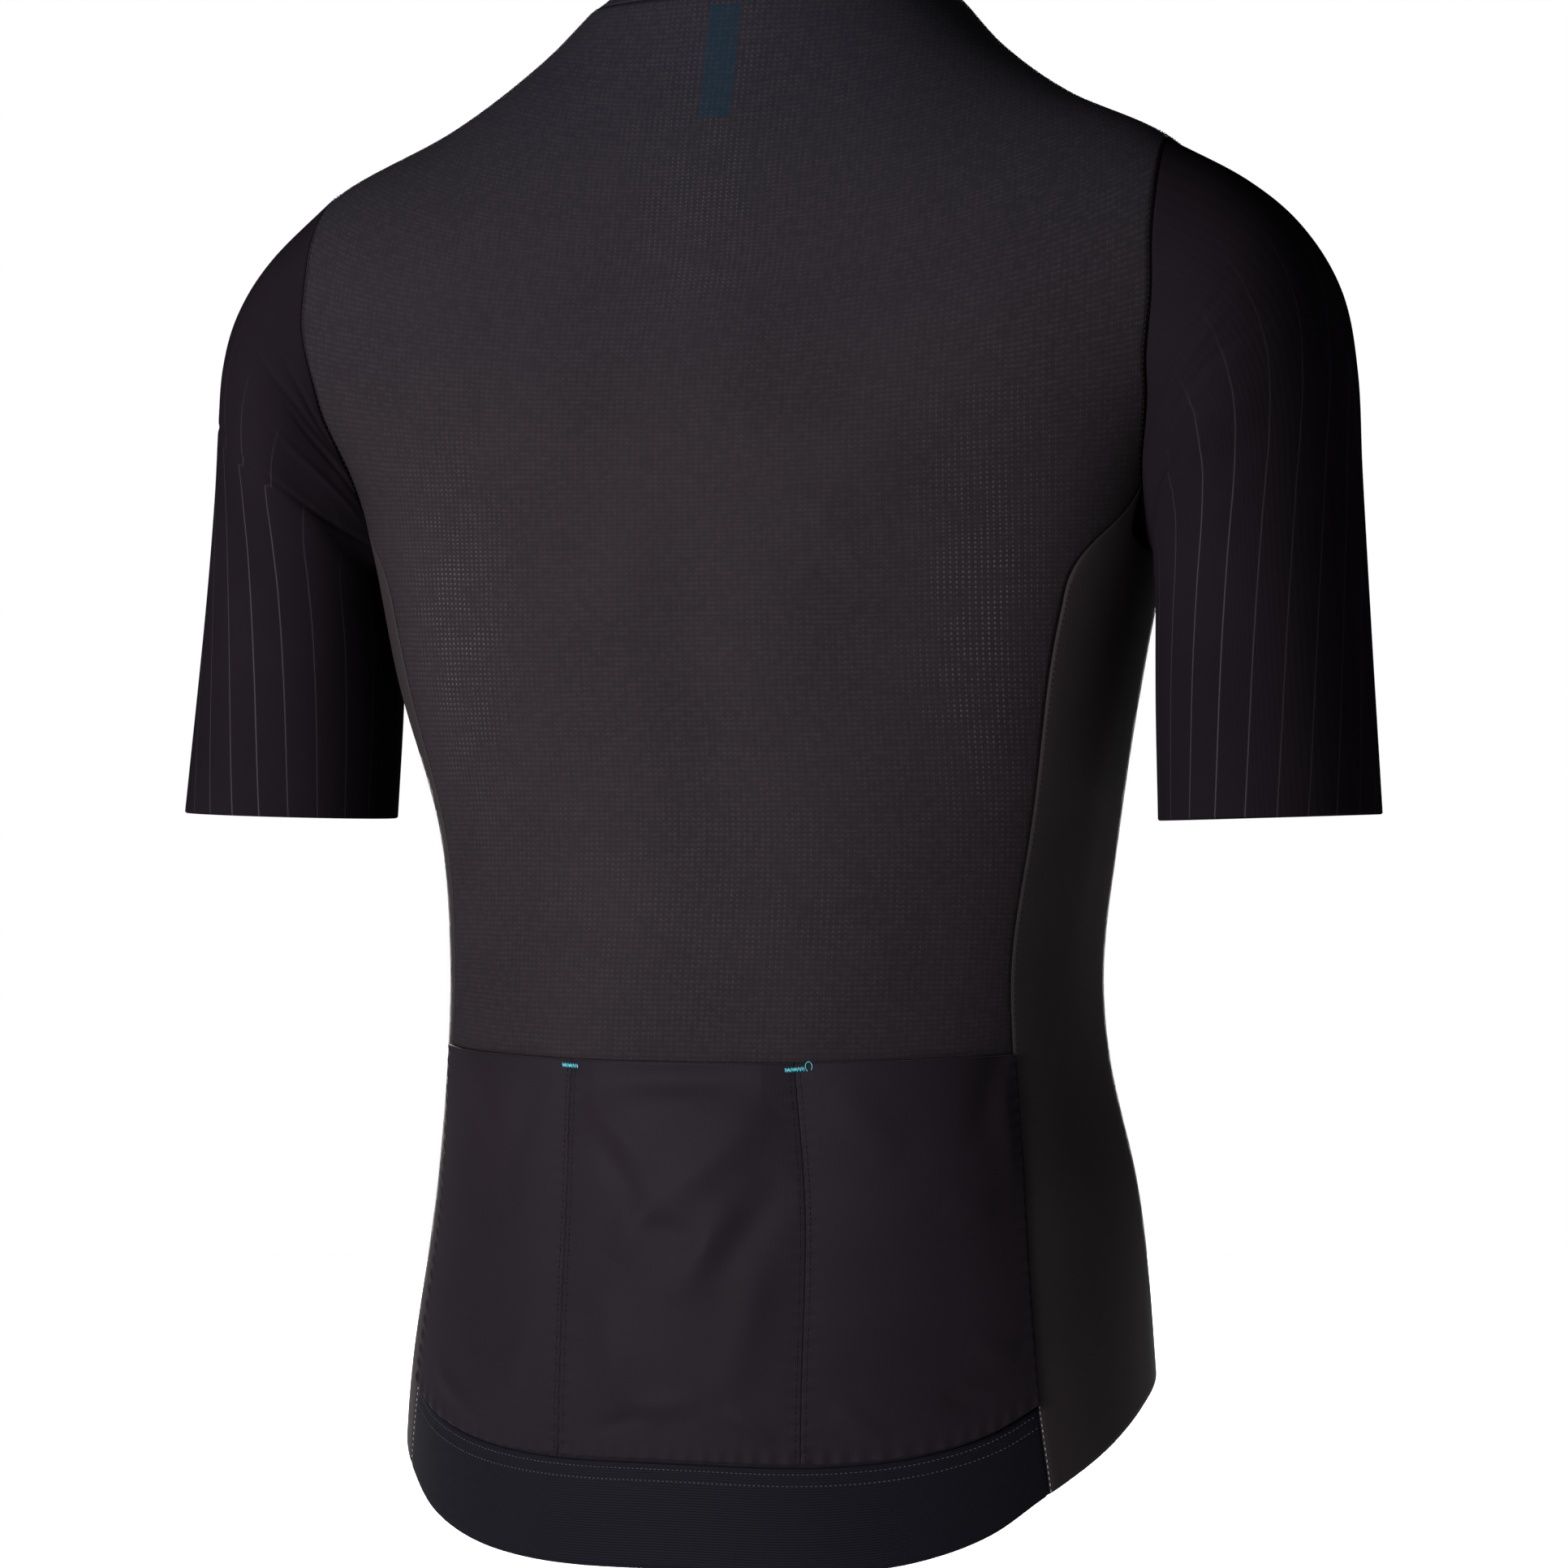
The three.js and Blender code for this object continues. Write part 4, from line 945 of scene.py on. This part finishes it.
def sew_body():
    """Stitching of the hem band and seams, and the seam allowances inside."""
    grey = thread("thread_seam_grey", (0.028, 0.028, 0.033))
    pale = thread("thread_seam_pale", (0.16, 0.16, 0.17))
    black = thread("thread_black", (0.0042, 0.0032, 0.0042))
    edge = skirt_seam("back", np.array([BAND_SHARE]))[0]
    angle = np.linspace(edge + 1, 179 - edge, 500)
    down = [seam_line(angle, skirt_level(angle, BAND_SHARE), aside) for aside in (3.2, 8.2)]
    stitches("hem_band_stitches", down, 2.1, 1.35, 0.34, grey)
    tape = elastic("seam_allowance")
    rows_pale, rows_black = [], []
    for label, side, turn in (("left", 1, lambda a: a), ("right", -1, lambda a: 180 - a)):
        for name in ("back", "front"):
            angle, level = side_line(name, -720, -200)
            ribbon(f"seam_allowance_{name}_{label}", *seam_line(turn(angle), level), tape)
            angle, level = side_line(name, -720, -592)
            rows_pale.append(seam_line(turn(angle), level, 0.5))
            angle, level = side_line(name, -592, -260)
            rows_black.append(seam_line(turn(angle), level, 1.4))
        steps = np.linspace(-180, 180, 500)
        rows_black.append(seam_line(turn(armhole_angle(steps)), armhole_level(steps), -1.5 * side))
        level = np.linspace(ARMHOLE_TOP, NECK_LEVEL - 2, 120)
        rows_black.append(seam_line(turn(-read(SHOULDER_SEAM, level)[0]), level, 1.4))
    stitches("seam_stitches_pale", rows_pale, 2.6, 1.5, 0.3, pale)
    stitches("seam_stitches_black", rows_black, 2.6, 1.9, 0.3, black)


def body_piece(name, places, thick, material, seams, free, marks=None):
    """A panel of the body over its places, which dips into the seams on the named sides and has rolled
    edges on its free ones."""
    angle, level = places[..., 0], places[..., 1]
    normals = body_normal(angle, level)
    points = body_base(angle, level)
    lift = body_lift(angle, level) + groove(edge_distance(points, seams))
    outer = points + normals * lift[..., None]
    rolls = [HEM_ROLL if side in free else 0 for side in ("bottom", "right", "top", "left")]
    piece = wall(name, outer, normals, thick, cloth_uv(outer), rolls, marks=marks)
    dress(piece, material, [name.removesuffix("_cloth")])
    declare(outer)


def blobs(rows, across, level):
    """Sum of soft round patches, each a bell curve. Rows hold centre, half sizes and strength."""
    total = np.zeros(np.shape(across))
    for x, y, half_x, half_y, strength in rows:
        total += strength * np.exp(-(((across - x) / half_x) ** 2) - ((level - y) / half_y) ** 2)
    return np.clip(total, 0, 1)


# Patches where the mesh is stretched open, so more painted light shows through the eyelets: across from the
# side in mm, level, half sizes, strength
STRETCHED = [
    [236, -50, 90, 60, 0.2],
    [84, -280, 24, 66, 0.7],
    [400, -275, 18, 80, 0.6],
    [236, -400, 110, 50, 0.14],
]


def make_body():
    places = back_places()
    angle, level = places[..., 0], places[..., 1]
    stretch = blobs(STRETCHED, np.radians(angle) * BODY_ROUND, level)
    points = body(angle, level)
    up = cloth_uv(points)[:, 0, 1] / MM
    top = float(np.interp(LABEL_TOP, level[:, 100], up))
    bottom = float(np.interp(LABEL_BOTTOM, level[:, 100], up))
    back_mesh = rib_mesh("rib_mesh_back", (bottom, top))
    plain_mesh = rib_mesh("rib_mesh_front")
    knit = smooth_knit("side_knit", (0.0088, 0.0071, 0.0075))
    all_sides, but_bottom = ["left", "right", "bottom", "top"], ["left", "right", "top"]
    marks = {"stretch": stretch}
    body_piece("back_panel_cloth", places, PANEL_WALL, back_mesh, all_sides, [], marks)
    band = elastic("hem_elastic_cloth")
    body_piece("hem_band_back_cloth", band_places(), BAND_WALL, band, but_bottom, ["bottom"])
    for side, turn in (("left", lambda p: p), ("right", mirrored)):
        name = f"side_panel_{side}_cloth"
        body_piece(name, turn(side_places()), PANEL_WALL, knit, but_bottom, ["bottom"])
        front = turn(front_places())
        other = "right" if side == "left" else "left"
        marks = {"stretch": blobs(STRETCHED, np.radians(front[..., 0]) * BODY_ROUND, front[..., 1])}
        name = f"front_{side}_cloth"
        body_piece(name, front, PANEL_WALL, plain_mesh, [other, "top"], ["bottom", side], marks)


# Stripes by sleeve: step of one of them at the cuff, how far it leans over the sleeve's length, the pitch
# at the cuff and how much more it is at the armhole, all in degrees round the sleeve
STRIPES = {"left": [117, 31, 15.7, 12], "right": [100, 37, 16.2, 7.5]}
STRIPE_JUMP = 4.5  # degrees between the stripes' two parts, across the left sleeve's fold
STRIPE_BRIGHTEST = 95  # step


def make_sleeve(name, side, material):
    """A sleeve: rows from armhole to cuff and columns round it."""
    steps = np.linspace(0, 360, 201)[:: -side][None, :]
    share = np.concatenate([np.linspace(0, 0.1, 20)[:-1], np.linspace(0.1, 1, 150)])[:, None]
    step, share = paired(fold_step(steps), share)
    outer = sleeve_face(step, share, side)
    normals = sleeve_normal(step, share, side)
    inward = unit(sleeve_face(step[:1], share[1:2], side) - outer[:1])
    outer[:1] += inward * SLEEVE_START
    outer += normals * (groove(share * SLEEVE_LENGTH))[..., None] * 0.8
    carry = np.array([side, 1, 1])
    outer, normals = outer * carry, normals * carry
    across = lengths(outer, 1)
    around = across[-1:] * np.linspace(0, 1, outer.shape[1])[None, :]
    up = -lengths(outer, 0).mean(axis=1, keepdims=True)
    uv = np.stack([np.broadcast_to(around, across.shape), np.broadcast_to(up, across.shape)], -1) * MM
    shown = 0.5 * np.clip((share - 0.12) / 0.4, 0, 1) ** 1.2
    shown = shown * (0.4 + 0.6 * np.exp(-(((np.abs(step) - STRIPE_BRIGHTEST) / 24) ** 2)))
    piece = wall(
        f"{name}_cloth", outer, normals, PANEL_WALL, uv, [0, 0, HEM_ROLL, 0], around=True,
        marks={"stripe": shown},
    )
    key = "left" if side > 0 else "right"
    at_cuff, lean, pitch, wider = STRIPES[key]
    place = at_cuff - lean * (1 - share)
    if side > 0:
        above = share < read(SLEEVE_FOLD, step)[0]
        place = place + np.where(above & (step > 0), STRIPE_JUMP, 0)
    stripe = (np.abs(step) - place) / (pitch + wider * (1 - share)) + 0.5
    layer = piece.data.uv_layers.new(name="Stripes")
    fine = np.stack([stripe, share], -1).reshape(-1, 2) * MM
    spots = stripe_corners(outer.shape[:2])
    layer.data.foreach_set("uv", fine[spots.ravel()].astype(np.float32).ravel())
    dress(piece, material, [name])
    declare(outer)


def stripe_corners(shape):
    """UV numbers of a round wall's corners, in the order that wall makes its faces."""
    rows, columns = shape
    numbers = np.arange(rows * columns).reshape(rows, columns)
    faces = [quads(numbers), quads(numbers)[:, ::-1]]
    for loop in (numbers[0], numbers[-1, ::-1]):
        rim = np.stack([loop[:-1], loop[:-1], loop[1:], loop[1:]], -1)
        faces += [rim, rim]
    return np.concatenate(faces)


def pocket_places(start, end, share, rise):
    """Angles and levels of a pocket's grid, between its two edges and from foot to mouth."""
    level = np.full(np.broadcast(share, rise).shape, float(POCKET_MOUTH))
    angle = level
    for _ in range(7):
        angle = start(level) + (end(level) - start(level)) * share
        foot = skirt_level(angle, BAND_SHARE) + POCKET_FOOT
        mouth = POCKET_MOUTH + (POCKET_MOUTH_SIDE - POCKET_MOUTH) * ((angle - 90) / POCKET_SPAN) ** 2
        level = foot + (mouth - foot) * rise
    return angle, level


# Creases of the pockets: across from the pocket's middle and up from its foot
POCKET_CREASES = {
    "left": [
        [-10, 165, 34, 120, 10, 0.9],
        [30, 170, 10, 90, 8, -0.9],
        [-30, 20, 20, 6, 5, 0.7],
        [34, 60, 20, 8, 6, 0.8],
    ],
    "centre": [
        [-40, 164, 38, 166, 8, -2.6],
        [-44, 158, -8, 122, 7, 1.5],
        [-38, 140, -16, 104, 6, -1.3],
        [44, 152, -12, 108, 9, 1.9],
        [48, 126, 14, 76, 9, -1.7],
        [26, 112, -2, 68, 8, 1.4],
        [14, 94, -26, 104, 6, -1.3],
        [-6, 120, -30, 86, 7, 1.2],
        [40, 92, 22, 24, 9, 1.1],
        [-34, 72, -24, 16, 9, 1.2],
        [-22, 22, 12, 26, 5, 0.9],
        [-40, 12, -10, 20, 4, -0.8],
        [46, 10, 22, 24, 4, 0.9],
    ],
    "right": [
        [44, 168, 26, 120, 8, -1],
        [40, 150, 46, 96, 7, 1],
        [-34, 160, -6, 128, 9, 0.8],
        [10, 104, 34, 94, 6, 0.8],
        [20, 40, 44, 26, 5, 1],
        [-40, 24, -16, 10, 4, 0.8],
        [6, 22, 32, 10, 4, -0.8],
    ],
}


def pocket_lift(key, across, up, share, rise):
    """How far a pocket stands off the back: a bulge that grows to the mouth and is sewn down at the
    sides, its creases, and puckers along the stitching and foot."""
    aside = np.minimum(across, across[:, -1:] - across)
    bulge = POCKET_BULGES[key] * np.sin(np.pi * share) ** 1.1 * np.sin(np.pi / 2 * rise) ** 1.2
    middle = across - across[:, -1:] / 2
    held = np.clip(aside / 6, 0, 1) * np.clip(up / 5, 0, 1)
    folds = 1.05 * creases(POCKET_CREASES[key], middle, up) * held
    sides = wave(up, up, 0, PUCKER_PITCH, 0.7 * np.sin(up / 11)) * np.exp(-((aside / 5) ** 2))
    foot = wave(across, up, 0, FOOT_PUCKER_PITCH, 1.3 * np.sin(across / 13)) * np.exp(-((up / 5) ** 2))
    return LAID_GAP + POCKET_WALL + bulge + folds + PUCKER_HEIGHT * (sides + foot + 1)


def make_pocket(key, start, end, material, columns=141, rows=150):
    """A pocket laid on the back: held at the foot and sides, and standing off towards its mouth."""
    share = np.linspace(0, 1, columns)[None, :]
    rise = np.linspace(0, 1, rows)[:, None]
    angle, level = pocket_places(start, end, share, rise)
    normals = body_normal(angle, level)
    base = body_face(angle, level)
    lift = pocket_lift(key, lengths(base, 1), lengths(base, 0), share, rise)
    outer = base + normals * lift[..., None]
    piece = wall(f"pocket_{key}_cloth", outer, normals, POCKET_WALL, cloth_uv(outer), [0, 0, 0.4, 0])
    dress(piece, material, [f"pocket_{key}"])
    declare(outer)
    return outer, normals


def make_pockets():
    knit = smooth_knit("pocket_knit", (0.0042, 0.0031, 0.0043))
    left_seam = lambda level: seam("back", level) + POCKET_SIDE_INSET
    right_seam = lambda level: 180 - left_seam(level)
    left_line = lambda level: 90 - POCKET_DIVIDER + 0 * level
    right_line = lambda level: 90 + POCKET_DIVIDER + 0 * level
    left = make_pocket("left", left_seam, left_line, knit)
    centre = make_pocket("centre", left_line, right_line, knit)
    right = make_pocket("right", right_line, right_seam, knit)
    sew_pockets(left, centre, right)


def column_at(grid, normals, aside):
    """The line up a pocket's cloth at a distance from its first edge, or from its last if negative."""
    across = lengths(grid, 1)
    aim = aside if aside >= 0 else across[:, -1] + aside
    share = np.clip(aim / across[:, -1], 0, 1) * (grid.shape[1] - 1)
    low = np.clip(np.floor(share).astype(int), 0, grid.shape[1] - 2)
    rest = (share - low)[:, None]
    rows = np.arange(len(grid))
    at = grid[rows, low] * (1 - rest) + grid[rows, low + 1] * rest
    return at, unit(normals[rows, low] * (1 - rest) + normals[rows, low + 1] * rest)


def sew_pockets(left, centre, right):
    """Dividers with two rows each, the mouths' edges, and bar tacks and a thread end at the corners."""
    dark = thread("thread_dark", (0.0017, 0.0014, 0.0018))
    grey = thread("thread_grey", (0.014, 0.013, 0.015))
    rows = []
    for (grid, normals), aside in ((left, -2.3), (centre, 2.3), (centre, -2.3), (right, 2.3)):
        rows.append(column_at(grid, normals, aside))
    stitches("pocket_stitches", rows, 2.4, 1.7, 0.3, dark)
    edges = [(grid[-1] + normals[-1] * 0.05, normals[-1]) for grid, normals in (left, centre, right)]
    stitches("pocket_edge_stitches", edges, 0.95, 0.8, 0.24, grey)
    cyan = thread("thread_cyan", (0.05, 0.3, 0.36), 0.4)
    for name, first, second in (("left", left, centre), ("right", centre, right)):
        at = (first[0][-2, -1] + second[0][-2, 0]) / 2
        up = unit(first[0][-1, -1] - first[0][-6, -1])
        out = unit(first[1][-2, -1] + second[1][-2, 0])
        bar_tack(f"bar_tack_{name}", at, up, out, cyan)
    turn = np.radians(np.linspace(-60, 250, 16))[:, None]
    middle = at - np.cross(out, up) * 6.2 - up * 0.8 + out * 0.9
    ring = middle - np.cross(out, up) * 1.5 * np.cos(turn) + up * 2.1 * np.sin(turn)
    stitches("bar_tack_thread", [(ring, np.tile(out, (16, 1)))], 0.8, 0.85, 0.3, cyan)


def bar_tack(name, at, up, out, material):
    """A dense block of upright stitches over a divider's top, with one lying across them."""
    across = np.cross(up, out)
    offsets = np.linspace(-4, 4, 12)
    lines = []
    for k, offset in enumerate(offsets):
        foot = at + across * offset - up * (2.9 + 0.2 * (k % 2)) + out * 0.75
        lines.append((np.linspace(foot, foot + up * 2.5, 12), np.tile(out, (12, 1))))
    middle = at - up * 1.7 + out * 1.1
    lines.append((np.linspace(middle - across * 4, middle + across * 4, 30), np.tile(out, (30, 1))))
    stitches(name, lines, 2.7, 2.5, 0.34, material)


def make_collar():
    """The collar: rows from the neck seam to its top edge."""
    start = float(-90 + zip_edge(NECK_LEVEL))
    angle = np.linspace(start, 180 - start, 221)[None, :]
    rise = np.linspace(0, 1, 22)[:, None]
    angle, rise = paired(angle, rise)
    normals = collar_normal(angle, rise)
    normals[0] = body_normal(angle[0], np.full(angle[0].shape, float(NECK_LEVEL)))
    points = collar(angle, rise)
    outer = points + normals * groove(edge_distance(points, ["bottom"]))[..., None]
    rolls = [0, 0.3, HEM_ROLL, 0.3]
    marks = {"stretch": angle * 0}
    piece = wall("collar_cloth", outer, normals, PANEL_WALL, cloth_uv(outer), rolls, marks=marks)
    dress(piece, rib_mesh("rib_mesh_collar"), ["collar"])
    declare(outer)


def make_label():
    """The label: a narrow strip hanging inside the centre back from the neck seam."""
    level = np.linspace(LABEL_BOTTOM, LABEL_TOP, 24)[:, None]
    half = np.degrees(LABEL_HALF / (body(90, level[:, 0])[:, 1] + 4))[:, None]
    angle = 90 + half * np.linspace(-1, 1, 9)[None, :]
    angle, level = paired(angle, level)
    normals = body_normal(angle, level)
    outer = body(angle, level) - normals * (PANEL_WALL + LAID_GAP)
    uv = cloth_uv(outer)
    piece = wall("neck_label_cloth", outer, normals, LABEL_THICK, uv, [0.3, 0.2, 0, 0.2])
    dress(piece, label_cloth("label_ribbon"), ["neck_label"])
    declare(outer)


def front_line(x):
    """The cloth's outside and its direction up the centre front, at distances x from the middle."""
    base = skirt_level(-90, skirt_shares(60, 16))
    base[0] += ZIP_HEM_CLEAR
    levels = np.concatenate([base, np.linspace(WAIST_LEVEL, NECK_LEVEL, 150)[1:]])[:, None]
    angle = -90 + zip_edge(levels, x[None, :])
    lower, lower_normal = body(angle, levels), body_normal(angle, levels)
    rise = np.linspace(0, 0.97, 10)[1:, None]
    angle = np.broadcast_to(-90 + zip_edge(float(NECK_LEVEL), x)[None, :], (len(rise), len(x)))
    upper, upper_normal = collar(angle, rise), collar_normal(angle, rise)
    return np.concatenate([lower, upper]), np.concatenate([lower_normal, upper_normal])


def make_zip():
    """The zip: a flat tape behind the two fronts and a chain of teeth standing in the gap."""
    x = np.linspace(-ZIP_TAPE_HALF, ZIP_TAPE_HALF, 15)
    points, normals = front_line(x)
    behind = points - normals * (PANEL_WALL + LAID_GAP)
    uv = cloth_uv(behind)
    tape = wall("zip_tape_cloth", behind, normals, ZIP_TAPE_THICK, uv, [0, 0, 0, 0])
    dress(tape, zip_tape("zip_tape_weave"), ["zip"])
    middle, out = front_line(np.array([0.0]))
    middle, out = middle[:, 0], out[:, 0]
    run = lengths(middle[:, None], 0)[:, 0]
    places = np.arange(1.0, run[-1] - 1, TOOTH_PITCH)
    at, away = along(middle, out, places)
    teeth = chain(at, unit(np.gradient(at, axis=0)), away)
    dress(teeth, metal("zip_teeth_nylon", (0.03, 0.03, 0.033), 0.45))
    declare(behind)


def chain(at, forward, away):
    """Teeth from the two sides in turn: a rounded block a tooth, widest at its head."""
    count = len(at)
    side = np.where(np.arange(count) % 2 == 0, 1.0, -1.0)[:, None]
    across = np.cross(forward, away) * side
    profile = np.array([[-2.3, 0.38], [-1.1, 0.32], [0.1, 0.5], [0.75, 0.34]])
    lower, upper = -(PANEL_WALL + LAID_GAP), CHAIN_PROUD
    rings = []
    for height, grow in ((lower, 1.0), (upper - 0.35, 1.0), (upper, 0.6)):
        for reach, half in profile:
            for turn in (-1, 1):
                sideways = across * reach * (0.9 + 0.1 * grow)
                rings.append(at - sideways + forward * half * turn * grow + away * height)
    points = np.stack(rings, 1)
    layer = 2 * len(profile)
    outline = [0, 2, 4, 6, 7, 5, 3, 1]
    faces = []
    for k in range(2):
        for a, b in zip(outline, outline[1:] + outline[:1]):
            faces.append([k * layer + a, k * layer + b, (k + 1) * layer + b, (k + 1) * layer + a])
    for a in range(0, layer - 2, 2):
        faces.append([2 * layer + a, 2 * layer + a + 2, 2 * layer + a + 3, 2 * layer + a + 1])
        faces.append([a, a + 1, a + 3, a + 2])
    faces = np.array(faces)
    flipped = faces[:, ::-1]
    order = np.where((side > 0)[:, :, None], faces[None], flipped[None])
    numbers = order + (np.arange(count) * 3 * layer)[:, None, None]
    return make_object("zip_chain", points.reshape(-1, 3), numbers.reshape(-1, 4))


def dress_metal():
    finish = metal("zip_metal_paint", (0.04, 0.04, 0.045), 0.36)
    for name in ("zip_slider", "zip_pull"):
        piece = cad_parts[name]
        for slot in piece.material_slots:
            slot.material = finish


# Camera, light and floor

VIEW_TURN = 22.0  # degrees that the camera stands to the wearer's right of straight behind
CAMERA_DISTANCE = 2.7
CAMERA_LEFT = -0.0029
CAMERA_HEIGHT = -0.3486
LENS = 137.9
FLOOR_LEVEL = -0.692
FLOOR_RADIUS = 1700  # mm
FLOOR_CORNERS = 96


def stand(behind, left, height):
    """A place from its distances behind the wearer along the view, to the picture's left, and up."""
    turn = math.radians(VIEW_TURN)
    back = Vector((-math.sin(turn), math.cos(turn), 0))
    side = Vector((math.cos(turn), math.sin(turn), 0))
    return back * behind + side * left + Vector((0, 0, height))


def add_camera():
    data = bpy.data.cameras.new("camera")
    data.lens = LENS
    data.sensor_width = 36
    camera = bpy.data.objects.new("camera", data)
    bpy.context.scene.collection.objects.link(camera)
    camera.location = stand(CAMERA_DISTANCE, CAMERA_LEFT, CAMERA_HEIGHT)
    aim = stand(0, CAMERA_LEFT, CAMERA_HEIGHT) - camera.location
    camera.rotation_euler = aim.to_track_quat("-Z", "Y").to_euler()
    bpy.context.scene.camera = camera


def add_light(name, place, target, size, power, spread=180):
    data = bpy.data.lights.new(name, "AREA")
    data.shape = "RECTANGLE"
    data.size, data.size_y = size
    data.energy = power
    data.spread = math.radians(spread)
    light = bpy.data.objects.new(name, data)
    bpy.context.scene.collection.objects.link(light)
    light.location = place
    light.rotation_euler = (target - place).to_track_quat("-Z", "Y").to_euler()


def add_studio():
    middle = Vector((0, 0, -0.36))
    add_light("key", stand(1.2, 1.25, -0.3), stand(0, 0.1, -0.19), (0.9, 1.2), 34, 80)
    add_light("front_light", stand(-2.4, 0.0, -0.2), middle, (1.3, 1.4), 55, 70)
    world = bpy.data.worlds.new("studio")
    world.use_nodes = True
    tree = world.node_tree
    background = tree.nodes["Background"]
    # White where it is seen. On the cloth it is weaker, and strongest from behind on the wearer's left.
    seen = node(tree, "ShaderNodeLightPath", output="Is Camera Ray")
    ray = node(tree, "ShaderNodeTexCoord", output="Generated")
    toward = node(tree, "ShaderNodeVectorMath", {0: ray, 1: stand(0.7, 0.7, 0)}, 1, operation="DOT_PRODUCT")
    strength = seen.ramp(0.0, 1.0, toward.ramp(-1.0, 1.0, 0.09, 0.42), 1.0)
    tree.links.new(strength.socket, background.inputs["Strength"])
    background.inputs["Color"].default_value = (1, 1, 1, 1)
    bpy.context.scene.world = world
    bpy.context.scene.view_settings.view_transform = "Standard"
    turn = np.linspace(0, 2 * np.pi, FLOOR_CORNERS + 1)[:-1]
    points = np.stack([np.cos(turn), np.sin(turn), 0 * turn], -1) * FLOOR_RADIUS
    points = np.vstack([points, [[0, 0, 0]]]) + [0, 0, FLOOR_LEVEL / MM]
    number = np.arange(FLOOR_CORNERS)
    faces = np.stack([number, (number + 1) % FLOOR_CORNERS, np.full(FLOOR_CORNERS, FLOOR_CORNERS)], -1)
    floor = make_object("floor", points, faces)
    material, tree, shader = new_material("floor_pale")
    shader.inputs["Base Color"].default_value = (0.97, 0.97, 0.97, 1)
    shader.inputs["Roughness"].default_value = 0.9
    shader.inputs["Specular IOR Level"].default_value = 0.1
    shader.inputs["Emission Color"].default_value = (1, 1, 1, 1)
    shader.inputs["Emission Strength"].default_value = 0.55
    floor.data.materials.append(material)


add_camera()
add_studio()
make_body()
sleeve_knit = smooth_knit("sleeve_knit_striped", (0.0033, 0.0025, 0.0034), stripes=True)
make_sleeve("sleeve_left", 1, sleeve_knit)
make_sleeve("sleeve_right", -1, sleeve_knit)
make_pockets()
make_collar()
make_label()
make_zip()
dress_metal()
sew_body()
